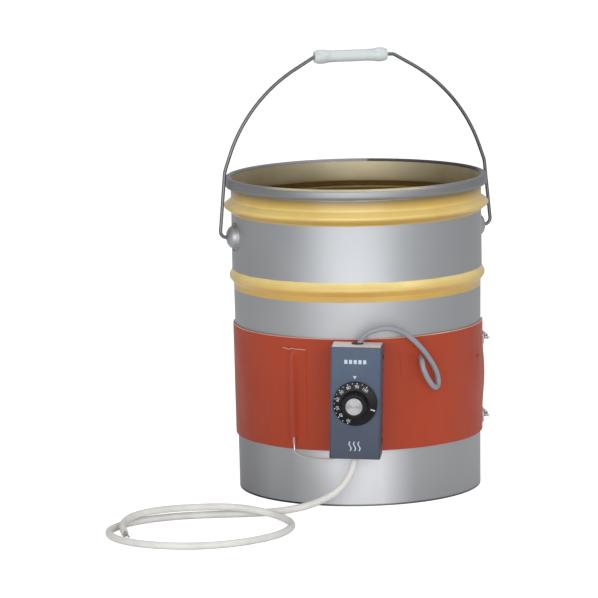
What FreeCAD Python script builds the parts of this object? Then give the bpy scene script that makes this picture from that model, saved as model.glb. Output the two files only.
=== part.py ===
import FreeCAD, Part
import math
import os

from FreeCAD import Placement, Rotation, Vector

os.makedirs("parts", exist_ok=True)

# Pail heater: an open steel pail of about 20 litres with a silicone heater
# band strapped round it by two springs, and a control box on the band.
# Millimetres. Z is up, the pail's axis is the Z axis and it stands on z = 0.
# The control box faces -Y. Angles are counted from +X, seen from above.

# Pail shell, one rolled and welded sheet. Its neck carries the rim, and the wall
# steps in under the lower swage and tapers to the foot.
SHEET = 0.6
NECK_RADIUS = 142.8
NECK_STEP = 1.6
WALL_TAPER = 2.6
SHOULDER_RADIUS = NECK_RADIUS - NECK_STEP
FOOT_RADIUS = SHOULDER_RADIUS - WALL_TAPER
RIM_OVERHANG = 7.2
RIM_RADIUS = NECK_RADIUS + RIM_OVERHANG
RIM_TOP = 358.8
RIM_DEPTH = 12.2
HEM = 6.0
FOOT_BEND = 1.6
CURL_BEND = 2.4
CURL_RETURN = 4.3
CURL_GAP = 0.5

# Rolled swages of the shell, counted down from the rim and out from the wall
UPPER_BEAD_BELOW_RIM = 33.2
UPPER_BEAD_HEIGHT = RIM_TOP - UPPER_BEAD_BELOW_RIM
UPPER_BEAD_RISE = 7.9
UPPER_BEAD_SPREAD = 7.2
UPPER_BEAD_FLAT = 1.4
BEAD_SPACING = 80.6
LOWER_BEAD_HEIGHT = UPPER_BEAD_HEIGHT - BEAD_SPACING
LOWER_BEAD_RISE = 4.6
LOWER_BEAD_SPREAD = 7.4
LOWER_BEAD_FLAT = 1.6
BEAD_ROOT_BEND = 2.0
BEAD_CREST_BEND = 1.6

# Painted fields of the shell, with their margins past the swages
PAINT = 0.12
UPPER_PAINT_BELOW = 1.6
UPPER_PAINT_MARGIN = 1.0
LOWER_PAINT_BELOW = 6.6
LOWER_PAINT_ABOVE = 1.2

# Pail bottom
BASE_LIFT = 6.0
BASE_SKIRT_GAP = 0.15
BASE_PANEL_INSET = 12.6
BASE_PANEL_RISE = 2.5
BASE_BEND = 2.0

# Ears, pressed cups welded on the shell, and the wire bail
EAR_TURN = 19.0
EAR_BELOW_BEAD = 32.6
EAR_HEIGHT = UPPER_BEAD_HEIGHT - EAR_BELOW_BEAD
EAR_RADIUS = 13.6
EAR_FACE_RADIUS = 10.2
EAR_REACH = 10.0
EAR_SHEET = 1.0
EAR_FLANGE_RADIUS = 16.5
EAR_BEND = 1.6
EAR_ROOT = 3.0
WIRE_RADIUS = 2.0
WIRE_HOLE_GAP = 0.35
WIRE_HEAD_RADIUS = 4.2
WIRE_HEAD_LENGTH = 2.4
WIRE_HEAD_GAP = 0.4
LEG_OUTSET = 7.4
LEG_BEND = 7.0
RIM_CLEARANCE = 1.3
KINK_ABOVE_RIM = 9.0
KINK_BEND = 30.0
BOW_INSET = 27.5
BOW_HEIGHT = 154.8
BOW_BEND = 178.0
BAIL_RISE = 201.0
GRIP_END_STRAIGHT = 3.2
SHOULDER_BEND = 8.0

# Moulded grip on the bail
GRIP_LENGTH = 87.0
GRIP_RADIUS = 6.4
GRIP_KNOB_RADIUS = 8.2
GRIP_END_RADIUS = 5.8
GRIP_KNOB_LENGTH = 20.0
GRIP_KNOB_CROWN = 9.0
GRIP_KNOB_FALL = 0.6
GRIP_END_LENGTH = 5.0
GRIP_BLEND = 3.0
GRIP_EDGE_BEND = 1.0
GRIP_KNOB_BEND = 4.0
GRIP_BORE_GAP = 0.3

# Silicone heater band and its fastening
BAND_FOOT = 63.6
BAND_WIDTH = 127.2
BAND_TOP = BAND_FOOT + BAND_WIDTH
BAND_SHEET = 2.0
BAND_GAP = 0.3
SPLIT_TURN = 13.0
SPLIT_HALF_ANGLE = 8.0
HOOK_HALF_ANGLE = 11.0
UPPER_SPRING_INSET = 23.0
LOWER_SPRING_INSET = 14.0
SPRING_STANDOFF = 5.4
SPRING_RADIUS = 4.6
SPRING_WIRE = 1.5
SPRING_GROOVE = 0.6
SPRING_LOOP_RADIUS = 3.3
SPRING_BODY_HALF = 17.5
LOOP_PULL = 0.6
HOOK_WIDTH = 3.0
HOOK_SHEET = 1.0
HOOK_PLATE_LENGTH = 17.0
HOOK_PLATE_BACK = 0.72
HOOK_PLATE_WIDTH = 15.0
HOOK_PLATE_MARGIN = 4.0
HOOK_SINK = 0.8
HOOK_RISE = 8.4
HOOK_RETURN = 5.0
HOOK_BEND = 1.6
CONE_MARGIN = 30.0
RIVET_RADIUS = 1.3
RIVET_HEAD_RADIUS = 2.6
RIVET_HEAD_RISE = 1.2
RIVET_SPACING = 8.6
END_RIVET_TURN = -14.6
END_RIVET_BELOW_TOP = 36.9
END_RIVET_HEIGHT = BAND_TOP - END_RIVET_BELOW_TOP
END_RIVET_RADIUS = 1.9
END_RIVET_RISE = 0.9

# Sensor pocket on the band and the bulb in it
POCKET_TURN = -115.4
POCKET_ABOVE_FOOT = 14.4
POCKET_BELOW_TOP = 13.3
POCKET_FOOT = BAND_FOOT + POCKET_ABOVE_FOOT
POCKET_TOP = BAND_TOP - POCKET_BELOW_TOP
POCKET_WIDTH = 25.5
POCKET_SHEET = 1.0
BULB_RADIUS = 2.6
BULB_GAP = 0.12
BULB_SETBACK = 6.0
BULB_HEADROOM = 11.5
POCKET_WALL = 1.3
RIDGE_TURN = -116.6
CAPILLARY_RADIUS = 0.8
SLEEVE_RADIUS = 1.5
SLEEVE_SHORT = 4.0

# Control box: a pan shaped chassis in a folded cover
BOX_WIDTH = 56.4
BOX_HEIGHT = 125.6
BOX_DEPTH = 38.5
BOX_ACROSS = 8.6
BOX_BELOW_MIDDLE = 1.7
BOX_MIDDLE = BAND_FOOT + BAND_WIDTH / 2 - BOX_BELOW_MIDDLE
BOX_LEAN = 1.6
BOX_BEND = 2.4
BOX_SHEET = 1.2
BOX_FIT = 0.15
CHASSIS_LIP = 11.0
CHASSIS_BEND = 1.8
PAD_THICKNESS = 3.0
PAD_MARGIN = 4.0
BOX_RIVET_SPACING = 78.0
BOX_RIVET_RADIUS = 2.0
BOX_RIVET_HEAD = 4.0
SCREW_RADIUS = 1.45
SCREW_HEAD_RADIUS = 2.9
SCREW_HEAD_RISE = 1.8
SCREW_LENGTH = 6.0
SCREW_INSET = 16.0
SCREW_DEPTH = 6.0

# Control inside the box, its spindle and the dial
CONTROL_WIDTH = 33.0
CONTROL_HEIGHT = 36.0
CONTROL_DEPTH = 17.0
CONTROL_FACE_GAP = 0.2
CONTROL_CORNER = 3.0
BUSH_RADIUS = 4.6
BUSH_HOLE_GAP = 0.2
BUSH_REACH = 3.6
NUT_ACROSS = 13.0
NUT_SIDES = 6
NUT_THICKNESS = 2.2
NUT_ROOM = 0.8
SPINDLE_RADIUS = 3.0
SPINDLE_FIT = 0.05
SPINDLE_INSIDE = 10.0
SPINDLE_OUTSIDE = 18.0
DIAL_RADIUS = 24.5
DIAL_GAP = 0.7
DIAL_EDGE = 4.2
DIAL_DISH = 1.4
DIAL_WALL = 1.6
KNOB_RADIUS = 15.2
KNOB_TOP_RADIUS = 13.6
KNOB_RISE = 21.6
KNOB_FLUTES = 24
KNOB_FLUTE_RADIUS = 1.1
CAP_RADIUS = 9.7
CAP_THICKNESS = 2.0
CAP_PROUD = 1.2
CAP_BEVEL = 0.6
CAP_GAP = 0.1

# Entries of the box
LEAD_RADIUS = 3.0
LEAD_HOLE_DEPTH = 14.0
CORD_RADIUS = 4.0
CORD_HOLE_DEPTH = 19.5
CAPILLARY_HOLE_ACROSS = -20.0
CAPILLARY_HOLE_DEPTH = 14.0
GROMMET_WALL = 1.6
GROMMET_LIP = 1.9
GROMMET_RISE = 1.5
BUSH_GAP = 0.15
TERMINAL_LENGTH = 28.0
TERMINAL_WIDTH = 12.0
TERMINAL_HEIGHT = 9.0
TERMINAL_BELOW = 21.0
TERMINAL_BORE = 2.0
TERMINAL_SCREW_BORE = 1.6
TERMINAL_WAYS = 3
CLAMP_LENGTH = 22.0
CLAMP_WIDTH = 7.0
CLAMP_WALL = 2.0
CLAMP_ABOVE = 7.0
CLAMP_CORNER = 4.0

# Patch where the lead enters the band
PATCH_TURN = -61.5
PATCH_WIDTH = 26.0
PATCH_BELOW_TOP = 21.3
PATCH_HEIGHT = 23.5
PATCH_TOP = BAND_TOP - PATCH_BELOW_TOP
PATCH_FOOT = PATCH_TOP - PATCH_HEIGHT
PATCH_SHEET = 1.5
COLLAR_RADIUS = 4.6
COLLAR_RISE = 1.6

# Route of the grey heater lead between the box's top and the patch on the band,
# with the tight fold that it hangs in. It starts straight out of its grommet
# and ends straight into the patch's collar.
LEAD_INSIDE = 5.3
LEAD_STRAIGHT = 3.0
LEAD_EXIT_BEND = 18.0
LEAD_ROUTE = [
    (13.4, -160.2, 199.2),
    (19.7, -161.2, 204.8),
    (28.5, -161.3, 207.3),
    (39.0, -159.4, 207.6),
    (50.0, -155.4, 205.6),
    (61.5, -149.0, 200.4),
    (71.5, -141.2, 191.4),
    (80.8, -132.2, 178.6),
    (88.8, -123.2, 164.0),
    (94.4, -116.2, 151.0),
    (97.4, -113.0, 139.8),
    (97.8, -116.4, 130.6),
    (95.2, -125.2, 128.4),
    (91.8, -132.0, 135.2),
    (87.2, -136.8, 146.6),
    (84.0, -138.4, 157.2),
    (83.2, -134.0, 164.4),
]
ENTRY_TURN = -57.2
ENTRY_BELOW_PATCH_TOP = 2.9
ENTRY_HEIGHT = PATCH_TOP - ENTRY_BELOW_PATCH_TOP
ENTRY_RUN = 7.0

# Route of the white mains cord from under the box to the floor, round one loop
# and over its own first pass to its bare end.
CORD_INSIDE = 15.0
CORD_STRAIGHT = 5.2
CORD_EXIT_BEND = 40.0
CORD_ROUTE = [
    (0.5, -167.2, 37.5),
    (-12.5, -171.5, 21.5),
    (-30.5, -175.8, 10.8),
    (-51.0, -180.5, 5.0),
    (-77.0, -188.0, 4.0),
    (-108.0, -196.0, 4.0),
    (-145.0, -200.5, 4.0),
    (-182.0, -208.0, 4.0),
    (-214.0, -223.0, 4.0),
    (-241.0, -248.0, 4.0),
    (-258.0, -286.0, 4.0),
    (-247.0, -327.0, 4.0),
    (-216.0, -356.0, 4.0),
    (-173.0, -369.0, 4.0),
    (-132.0, -364.0, 4.0),
    (-97.0, -344.0, 4.0),
    (-68.0, -311.0, 4.0),
    (-56.0, -272.0, 4.0),
    (-60.0, -239.0, 4.0),
    (-75.5, -217.0, 5.5),
    (-99.0, -206.5, 11.0),
    (-126.0, -203.8, 18.5),
    (-155.0, -206.8, 20.0),
    (-191.0, -215.0, 20.0),
    (-217.0, -231.0, 20.0),
    (-235.0, -253.0, 19.0),
    (-241.0, -274.0, 12.0),
    (-239.0, -290.0, 6.0),
    (-236.0, -302.0, 4.2),
]

# Route of the thin sensor tube from the pocket's foot round to the box's underside
CAPILLARY_DROP = 12.0
CAPILLARY_STRAIGHT = 1.6
CAPILLARY_INSIDE = 7.0
CAPILLARY_ROUTE = [
    (-64.2, -131.6, 59.0),
    (-57.5, -135.8, 55.2),
    (-45.0, -142.6, 53.6),
    (-30.0, -150.6, 53.0),
    (-18.4, -156.6, 54.4),
]

# Bare ends of the cord's three cores
CORE_RADIUS = 1.15
CORE_LENGTH = 9.0
CORE_STAGGER = 1.0
CORE_SPREAD = 1.9
CORE_START_GAP = 0.2
CORE_FAN = 0.12

# How far a cutter runs past the face that it cuts, and the share of a route's
# shorter run that a bend may take
CUT_OVER = 1.0
BEND_SHARE = 0.45

FULL_TURN = 360.0
UP = Vector(0, 0, 1)


def save(shape, node):
    shape.exportStep("parts/" + node + ".step")


def rounded_edges(points, bends):
    """Straight runs joined by tangent arcs, one bend radius for each inner point."""
    points = [Vector(*p) for p in points]
    edges = []
    start = points[0]
    for before, corner, after, bend in zip(points, points[1:], points[2:], bends):
        if not bend:
            edges.append(Part.LineSegment(start, corner).toShape())
            start = corner
            continue
        back = (before - corner).normalize()
        ahead = (after - corner).normalize()
        half_turn = (math.pi - back.getAngle(ahead)) / 2
        reach = bend * math.tan(half_turn)
        arc_start = corner + back * reach
        arc_end = corner + ahead * reach
        inward = (back + ahead).normalize()
        arc_middle = corner + inward * (bend / math.cos(half_turn) - bend)
        edges.append(Part.LineSegment(start, arc_start).toShape())
        edges.append(Part.Arc(arc_start, arc_middle, arc_end).toShape())
        start = arc_end
    edges.append(Part.LineSegment(start, points[-1]).toShape())
    return edges


def widest_bends(points):
    """The largest arc that each corner of a route leaves room for."""
    points = [Vector(*p) for p in points]
    bends = []
    for before, corner, after in zip(points, points[1:], points[2:]):
        half_turn = (math.pi - (before - corner).getAngle(after - corner)) / 2
        shorter = min((before - corner).Length, (after - corner).Length)
        bends.append(BEND_SHARE * shorter / math.tan(half_turn))
    return bends


def tube(points, bends, radius):
    """A round bar along straight runs and tangent arcs."""
    path = Part.Wire(rounded_edges(points, bends))
    start = Vector(*points[0])
    direction = Vector(*points[1]) - start
    ring = Part.Wire([Part.makeCircle(radius, start, direction)])
    return path.makePipeShell([ring], True, False)


def flat(points):
    """Points of a profile, (across, up), on the XZ plane."""
    return [(across, 0.0, up) for across, up in points]


def face_of(points, bends=None):
    """A closed face on the XZ plane, with its corners rounded where bends says so."""
    if bends is None:
        corners = [Vector(*p) for p in flat(points)]
        return Part.Face(Part.makePolygon(corners + corners[:1]))
    edges = rounded_edges(flat(points + points[:1]), bends)
    return Part.Face(Part.Wire(edges))


def strip_face(points, bends, gauge):
    """A bent strip of sheet on the XZ plane, with its gauge to the left of the line of points."""
    line = [Vector(x, y, 0) for x, y in points]
    normals = []
    for one, other in zip(line, line[1:]):
        along = (other - one).normalize()
        normals.append(Vector(-along.y, along.x, 0))
    far = [line[0] + normals[0] * gauge]
    far_bends = []
    for corner, n1, n2, bend in zip(line[1:-1], normals, normals[1:], bends):
        far.append(corner + (n1 + n2) * (gauge / (1 + n1.dot(n2))))
        turns_left = n1.cross(n2).z > 0
        far_bend = bend - gauge if turns_left else bend + gauge
        far_bends.append(far_bend if bend else 0)
    far.append(line[-1] + normals[-1] * gauge)
    near_edges = rounded_edges(flat([(p.x, p.y) for p in line]), bends)
    far_edges = rounded_edges(flat([(p.x, p.y) for p in far]), far_bends)
    ends = [
        Part.LineSegment(Vector(p.x, 0, p.y), Vector(q.x, 0, q.y)).toShape()
        for p, q in ((line[0], far[0]), (line[-1], far[-1]))
    ]
    return Part.Face(Part.Wire(Part.__sortEdges__(near_edges + far_edges + ends)))


def turned(face, angle=FULL_TURN):
    """A profile turned about the pail's axis."""
    return face.revolve(Vector(0, 0, 0), UP, angle)


def turned_across(points, bends=None):
    """A profile of (along, radius) turned about the X axis."""
    return face_of(points, bends).revolve(Vector(0, 0, 0), Vector(1, 0, 0), FULL_TURN)


def rod(radius, start, end):
    start = Vector(*start)
    axis = Vector(*end) - start
    return Part.makeCylinder(radius, axis.Length, start, axis)


def block(low, high):
    low = Vector(*low)
    size = Vector(*high) - low
    return Part.makeBox(size.x, size.y, size.z, low)


def spun(shape, degrees):
    """A copy turned about the pail's axis."""
    copy = shape.copy()
    copy.Placement = Placement(Vector(0, 0, 0), Rotation(UP, degrees)).multiply(copy.Placement)
    return copy


def lifted(shape, height):
    copy = shape.copy()
    copy.translate(Vector(0, 0, height))
    return copy


# The shell's outline, its outer face from the foot to the rim

def shell_radius(height):
    """Outer radius of the tapered wall below the lower swage."""
    rise = height / (LOWER_BEAD_HEIGHT - LOWER_BEAD_SPREAD)
    return FOOT_RADIUS + (SHOULDER_RADIUS - FOOT_RADIUS) * rise


def lower_bead_line():
    crest = SHOULDER_RADIUS + LOWER_BEAD_RISE
    return [
        (SHOULDER_RADIUS, LOWER_BEAD_HEIGHT - LOWER_BEAD_SPREAD),
        (crest, LOWER_BEAD_HEIGHT - LOWER_BEAD_FLAT),
        (crest, LOWER_BEAD_HEIGHT + LOWER_BEAD_FLAT),
        (NECK_RADIUS, LOWER_BEAD_HEIGHT + LOWER_BEAD_SPREAD),
    ]


def upper_bead_line():
    crest = NECK_RADIUS + UPPER_BEAD_RISE
    return [
        (NECK_RADIUS, UPPER_BEAD_HEIGHT - UPPER_BEAD_SPREAD),
        (crest, UPPER_BEAD_HEIGHT - UPPER_BEAD_FLAT),
        (crest, UPPER_BEAD_HEIGHT + UPPER_BEAD_FLAT),
        (NECK_RADIUS, UPPER_BEAD_HEIGHT + UPPER_BEAD_SPREAD),
    ]


BEAD_BENDS = [BEAD_ROOT_BEND, BEAD_CREST_BEND, BEAD_CREST_BEND, BEAD_ROOT_BEND]


def pail_shell():
    curl_top = RIM_TOP - SHEET
    curl_outer = RIM_RADIUS - SHEET
    curl_foot = RIM_TOP - RIM_DEPTH + SHEET
    curl_inner = NECK_RADIUS + SHEET + CURL_GAP
    line = [(FOOT_RADIUS - HEM, 0.0), (FOOT_RADIUS, 0.0)]
    line += lower_bead_line() + upper_bead_line()
    line += [
        (NECK_RADIUS, curl_top),
        (curl_outer, curl_top),
        (curl_outer, curl_foot),
        (curl_inner, curl_foot),
        (curl_inner, curl_foot + CURL_RETURN),
    ]
    curl_bend = min(CURL_BEND, BEND_SHARE * (curl_outer - curl_inner))
    bends = [FOOT_BEND] + 2 * BEAD_BENDS + 4 * [curl_bend]
    return turned(strip_face(line, bends, SHEET))


def pail_base():
    skirt = shell_radius(BASE_LIFT / 2) - SHEET - BASE_SKIRT_GAP - SHEET
    panel = FOOT_RADIUS - BASE_PANEL_INSET
    line = [
        (skirt, FOOT_BEND),
        (skirt, BASE_LIFT),
        (panel, BASE_LIFT),
        (panel - BASE_PANEL_RISE, BASE_LIFT + BASE_PANEL_RISE),
        (0.0, BASE_LIFT + BASE_PANEL_RISE),
    ]
    return turned(strip_face(line, 3 * [BASE_BEND], -SHEET))


def upper_paint():
    foot = UPPER_BEAD_HEIGHT - UPPER_BEAD_SPREAD - UPPER_PAINT_BELOW
    top = RIM_TOP - RIM_DEPTH - UPPER_PAINT_MARGIN
    line = [(NECK_RADIUS, foot)] + upper_bead_line() + [(NECK_RADIUS, top)]
    return turned(strip_face(line, BEAD_BENDS, -PAINT))


def lower_paint():
    foot = LOWER_BEAD_HEIGHT - LOWER_BEAD_SPREAD - LOWER_PAINT_BELOW
    top = LOWER_BEAD_HEIGHT + LOWER_BEAD_SPREAD + LOWER_PAINT_ABOVE
    line = [(shell_radius(foot), foot)] + lower_bead_line() + [(NECK_RADIUS, top)]
    return turned(strip_face(line, BEAD_BENDS, -PAINT))


# Ears and bail. Both are drawn along X, at the height of the pivot, and turned after that.

EAR_FACE = NECK_RADIUS + EAR_REACH
HOLE_RADIUS = WIRE_RADIUS + WIRE_HOLE_GAP


def ear():
    line = [
        (NECK_RADIUS - EAR_ROOT, EAR_RADIUS),
        (NECK_RADIUS + EAR_SHEET, EAR_RADIUS),
        (EAR_FACE, EAR_FACE_RADIUS),
        (EAR_FACE, HOLE_RADIUS),
    ]
    cup = strip_face(line, [0, EAR_BEND], -EAR_SHEET)
    cup = cup.revolve(Vector(0, 0, 0), Vector(1, 0, 0), FULL_TURN)
    flange = rod(EAR_FLANGE_RADIUS, (0, 0, 0), (EAR_FACE, 0, 0))
    flange = flange.cut(rod(EAR_RADIUS - EAR_SHEET / 2, (0, 0, 0), (EAR_FACE, 0, 0)))
    tall = 3 * EAR_FLANGE_RADIUS
    skin = Part.makeCylinder(NECK_RADIUS + EAR_SHEET, tall, Vector(0, 0, -tall / 2))
    wall = Part.makeCylinder(NECK_RADIUS, tall, Vector(0, 0, -tall / 2))
    shape = cup.fuse(flange.common(skin)).cut(wall)
    return shape.removeSplitter().Solids[0]


def bail_wire():
    head_end = EAR_FACE - EAR_SHEET - WIRE_HEAD_GAP
    head_start = head_end - WIRE_HEAD_LENGTH
    foot = EAR_FACE + LEG_OUTSET
    kink = RIM_RADIUS + WIRE_RADIUS + RIM_CLEARANCE
    kink_height = RIM_TOP - EAR_HEIGHT + KINK_ABOVE_RIM
    shoulder = GRIP_LENGTH / 2 + GRIP_END_STRAIGHT
    right = [
        (head_start, 0.0),
        (foot, 0.0),
        (kink, kink_height),
        (kink - BOW_INSET, BOW_HEIGHT),
        (shoulder, BAIL_RISE),
    ]
    left = [(-across, up) for across, up in reversed(right)]
    half = [LEG_BEND, KINK_BEND, BOW_BEND, SHOULDER_BEND]
    wire = tube(flat(right + left), half + half[::-1], WIRE_RADIUS)
    for side in (1, -1):
        head = rod(WIRE_HEAD_RADIUS, (side * head_start, 0, 0), (side * head_end, 0, 0))
        wire = wire.fuse(head)
    return wire.removeSplitter().Solids[0]


def bail_grip():
    half = GRIP_LENGTH / 2
    knob_start = half - GRIP_KNOB_LENGTH
    knob_top = half - GRIP_KNOB_CROWN
    bore = WIRE_RADIUS + GRIP_BORE_GAP
    outline = [
        (0.0, bore),
        (half, bore),
        (half, GRIP_END_RADIUS),
        (half - GRIP_END_LENGTH, GRIP_KNOB_RADIUS - GRIP_KNOB_FALL),
        (knob_top, GRIP_KNOB_RADIUS),
        (knob_start + GRIP_BLEND, GRIP_RADIUS + GRIP_KNOB_FALL),
        (knob_start - GRIP_BLEND, GRIP_RADIUS),
        (0.0, GRIP_RADIUS),
    ]
    bends = [0, GRIP_EDGE_BEND, GRIP_KNOB_BEND, GRIP_KNOB_BEND, 0, 0, 0]
    side = turned_across(outline, bends)
    other = side.mirror(Vector(0, 0, 0), Vector(1, 0, 0))
    return lifted(side.fuse(other).removeSplitter().Solids[0], BAIL_RISE)


def laid(face):
    """A profile from the XZ plane laid on the XY plane."""
    face.rotate(Vector(0, 0, 0), Vector(1, 0, 0), -90)
    return face


def quarter(face):
    """A profile from the XZ plane turned to the YZ plane."""
    face.rotate(Vector(0, 0, 0), UP, 90)
    return face


def moved(shape, offset):
    copy = shape.copy()
    copy.translate(Vector(*offset))
    return copy


# Heater band. Its pieces are drawn at the origin with X outwards, Y round the pail and Z up,
# and then set on the band's outer face.

def band_inside(height):
    return shell_radius(height) + BAND_GAP


def band_outside(height):
    return band_inside(height) + BAND_SHEET


def on_band(shape, turn, height):
    return spun(moved(shape, (band_outside(height), 0, height)), turn)


def cone_within(radius_at):
    """The solid inside a conical face that follows the shell."""
    low = BAND_FOOT - CONE_MARGIN
    high = BAND_TOP + CONE_MARGIN
    return Part.makeCone(radius_at(low), radius_at(high), high - low, Vector(0, 0, low))


def sector(foot, top, thickness, turn, width, inner=band_outside):
    """A sheet that lies on a conical face, between two heights."""
    outline = [
        (inner(foot), foot),
        (inner(foot) + thickness, foot),
        (inner(top) + thickness, top),
        (inner(top), top),
    ]
    sweep = math.degrees(width / inner(top))
    return spun(turned(face_of(outline), sweep), turn - sweep / 2)


def spring_heights():
    return {"upper": BAND_TOP - UPPER_SPRING_INSET, "lower": BAND_FOOT + LOWER_SPRING_INSET}


def hook_sides():
    """Each hook's side: where it is and which way round the split lies."""
    return {
        "front": (SPLIT_TURN - HOOK_HALF_ANGLE, 1),
        "rear": (SPLIT_TURN + HOOK_HALF_ANGLE, -1),
    }


def hook_rivet_places():
    """Centres of a hook plate's two rivets, (round the band, up)."""
    back = HOOK_PLATE_LENGTH * HOOK_PLATE_BACK - HOOK_PLATE_MARGIN
    return [(-back, RIVET_SPACING / 2), (-back, -RIVET_SPACING / 2)]


def hook_rivet_pins(radius, start, end):
    pins = []
    for turn, toward in hook_sides().values():
        for height in spring_heights().values():
            for around, up in hook_rivet_places():
                y = toward * around
                pin = rod(radius, (start, y, up), (end, y, up))
                pins.append(on_band(pin, turn, height))
    return pins


def end_rivet_pin(end):
    pin = rod(END_RIVET_RADIUS / 2, (-2 * BAND_SHEET, 0, 0), (end, 0, 0))
    return on_band(pin, END_RIVET_TURN, END_RIVET_HEIGHT)


def heater_band():
    outline = [
        (band_inside(BAND_FOOT), BAND_FOOT),
        (band_outside(BAND_FOOT), BAND_FOOT),
        (band_outside(BAND_TOP), BAND_TOP),
        (band_inside(BAND_TOP), BAND_TOP),
    ]
    sweep = FULL_TURN - 2 * SPLIT_HALF_ANGLE
    band = spun(turned(face_of(outline), sweep), SPLIT_TURN + SPLIT_HALF_ANGLE)
    pins = hook_rivet_pins(RIVET_RADIUS, -2 * BAND_SHEET, 2 * BAND_SHEET)
    pins += box_rivet_pins(BOX_RIVET_RADIUS)
    pins.append(end_rivet_pin(BAND_SHEET))
    return band.cut(Part.makeCompound(pins))


def end_rivet():
    """The dark eyelet rivet near the end of the band."""
    head = rod(END_RIVET_RADIUS, (-BAND_SHEET / 4, 0, 0), (END_RIVET_RISE, 0, 0))
    head = on_band(head, END_RIVET_TURN, END_RIVET_HEIGHT).cut(cone_within(band_outside))
    pin = end_rivet_pin(END_RIVET_RISE / 2).cut(cone_within(band_inside))
    return pin.fuse(head).removeSplitter().Solids[0]


def band_hook(turn, toward, height):
    """A bent steel hook: a plate on the band and a tongue that stands up and folds back."""
    back = HOOK_PLATE_LENGTH * HOOK_PLATE_BACK
    front = HOOK_PLATE_LENGTH - back
    half = HOOK_PLATE_WIDTH / 2
    around = sorted((-toward * back, toward * front))
    plate = block((-HOOK_SINK, around[0], -half), (HOOK_SHEET, around[1], half))
    line = [
        (0.0, -toward * back / 2),
        (0.0, 0.0),
        (HOOK_RISE, 0.0),
        (HOOK_RISE, -toward * HOOK_RETURN),
    ]
    bends = [HOOK_BEND, HOOK_BEND]
    tongue = laid(strip_face(line, bends, -toward * HOOK_SHEET))
    tongue = moved(tongue.extrude(Vector(0, 0, HOOK_WIDTH)), (0, 0, -HOOK_WIDTH / 2))
    hook = on_band(plate.fuse(tongue), turn, height)
    hook = hook.cut(cone_within(band_outside))
    hook = hook.cut(Part.makeCompound(hook_rivet_pins(RIVET_RADIUS, -BAND_SHEET, 2 * BAND_SHEET)))
    return hook.removeSplitter().Solids[0]


def hook_rivets():
    """Two domed rivets for each hook, through its plate and the band."""
    inside = cone_within(band_inside)
    solids = []
    shanks = hook_rivet_pins(RIVET_RADIUS, -2 * BAND_SHEET, HOOK_SHEET)
    heads = hook_rivet_pins(RIVET_HEAD_RADIUS, HOOK_SHEET, HOOK_SHEET + RIVET_HEAD_RISE)
    for shank, head in zip(shanks, heads):
        solids.append(shank.fuse(head).cut(inside).removeSplitter().Solids[0])
    return Part.makeCompound(solids)


def tension_spring(height):
    """A close wound spring with a loop at each end, drawn along Y across the split."""
    angle = math.radians(HOOK_HALF_ANGLE)
    standing = band_outside(height) + SPRING_STANDOFF
    loop_ahead = SPRING_LOOP_RADIUS - SPRING_WIRE / 2 - HOOK_SHEET - LOOP_PULL
    out = standing * math.cos(angle) + loop_ahead * math.sin(angle)
    reach = standing * math.sin(angle) - loop_ahead * math.cos(angle)
    turns = round(2 * SPRING_BODY_HALF / SPRING_WIRE)
    pitch = 2 * SPRING_BODY_HALF / turns
    groove = SPRING_RADIUS - SPRING_GROOVE
    outline = [(-SPRING_BODY_HALF, 0.0)]
    for turn in range(turns):
        start = -SPRING_BODY_HALF + turn * pitch
        outline += [(start, groove), (start + pitch / 2, SPRING_RADIUS)]
    outline += [(SPRING_BODY_HALF, groove), (SPRING_BODY_HALF, 0.0)]
    body = turned_across(outline)
    spring = body
    for side in (-1, 1):
        loop = Part.makeTorus(SPRING_LOOP_RADIUS, SPRING_WIRE / 2, Vector(side * reach, 0, 0), UP)
        neck_start = side * (SPRING_BODY_HALF - SPRING_WIRE)
        neck_end = side * (reach - SPRING_LOOP_RADIUS)
        neck = rod(SPRING_WIRE / 2, (neck_start, 0, 0), (neck_end, 0, 0))
        spring = spring.fuse(neck).fuse(loop)
    spring = spring.removeSplitter().Solids[0]
    spring.rotate(Vector(0, 0, 0), Vector(1, 0, 0), 90)
    spring.rotate(Vector(0, 0, 0), UP, 90)
    return spun(moved(spring, (out, 0, height)), SPLIT_TURN)


# Sensor pocket, bulb and its thin tube

RIDGE_BORE = BULB_RADIUS + BULB_GAP
RIDGE_AXIS_OUT = RIDGE_BORE + BULB_GAP


BULB_LENGTH = POCKET_TOP - POCKET_FOOT - BULB_SETBACK - BULB_HEADROOM


def ridge_point(height):
    """A point of the bulb's line, which runs up the band's face."""
    turn = math.radians(RIDGE_TURN)
    out = band_outside(height) + RIDGE_AXIS_OUT
    return (out * math.cos(turn), out * math.sin(turn), height)


def sensor_pocket():
    sheet = sector(POCKET_FOOT, POCKET_TOP, POCKET_SHEET, POCKET_TURN, POCKET_WIDTH)
    ridge_radius = RIDGE_BORE + POCKET_WALL
    ridge = rod(ridge_radius, ridge_point(POCKET_FOOT), ridge_point(POCKET_TOP))
    pocket = sheet.fuse(ridge).cut(cone_within(band_outside))
    bore_end = POCKET_FOOT + BULB_SETBACK + BULB_LENGTH + BULB_GAP
    bore = rod(RIDGE_BORE, ridge_point(POCKET_FOOT - CUT_OVER), ridge_point(bore_end))
    return pocket.cut(bore).removeSplitter().Solids[0]


def sensor_bulb():
    foot = POCKET_FOOT + BULB_SETBACK
    straight = BULB_LENGTH - 2 * BULB_RADIUS
    body = rod(BULB_RADIUS, ridge_point(foot), ridge_point(foot + straight))
    start = Vector(*ridge_point(foot + straight))
    axis = Vector(*ridge_point(foot + BULB_LENGTH)) - start
    tip = Part.makeCone(BULB_RADIUS, BULB_RADIUS / 2, 2 * BULB_RADIUS, start, axis)
    return body.fuse(tip).removeSplitter().Solids[0]


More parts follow.
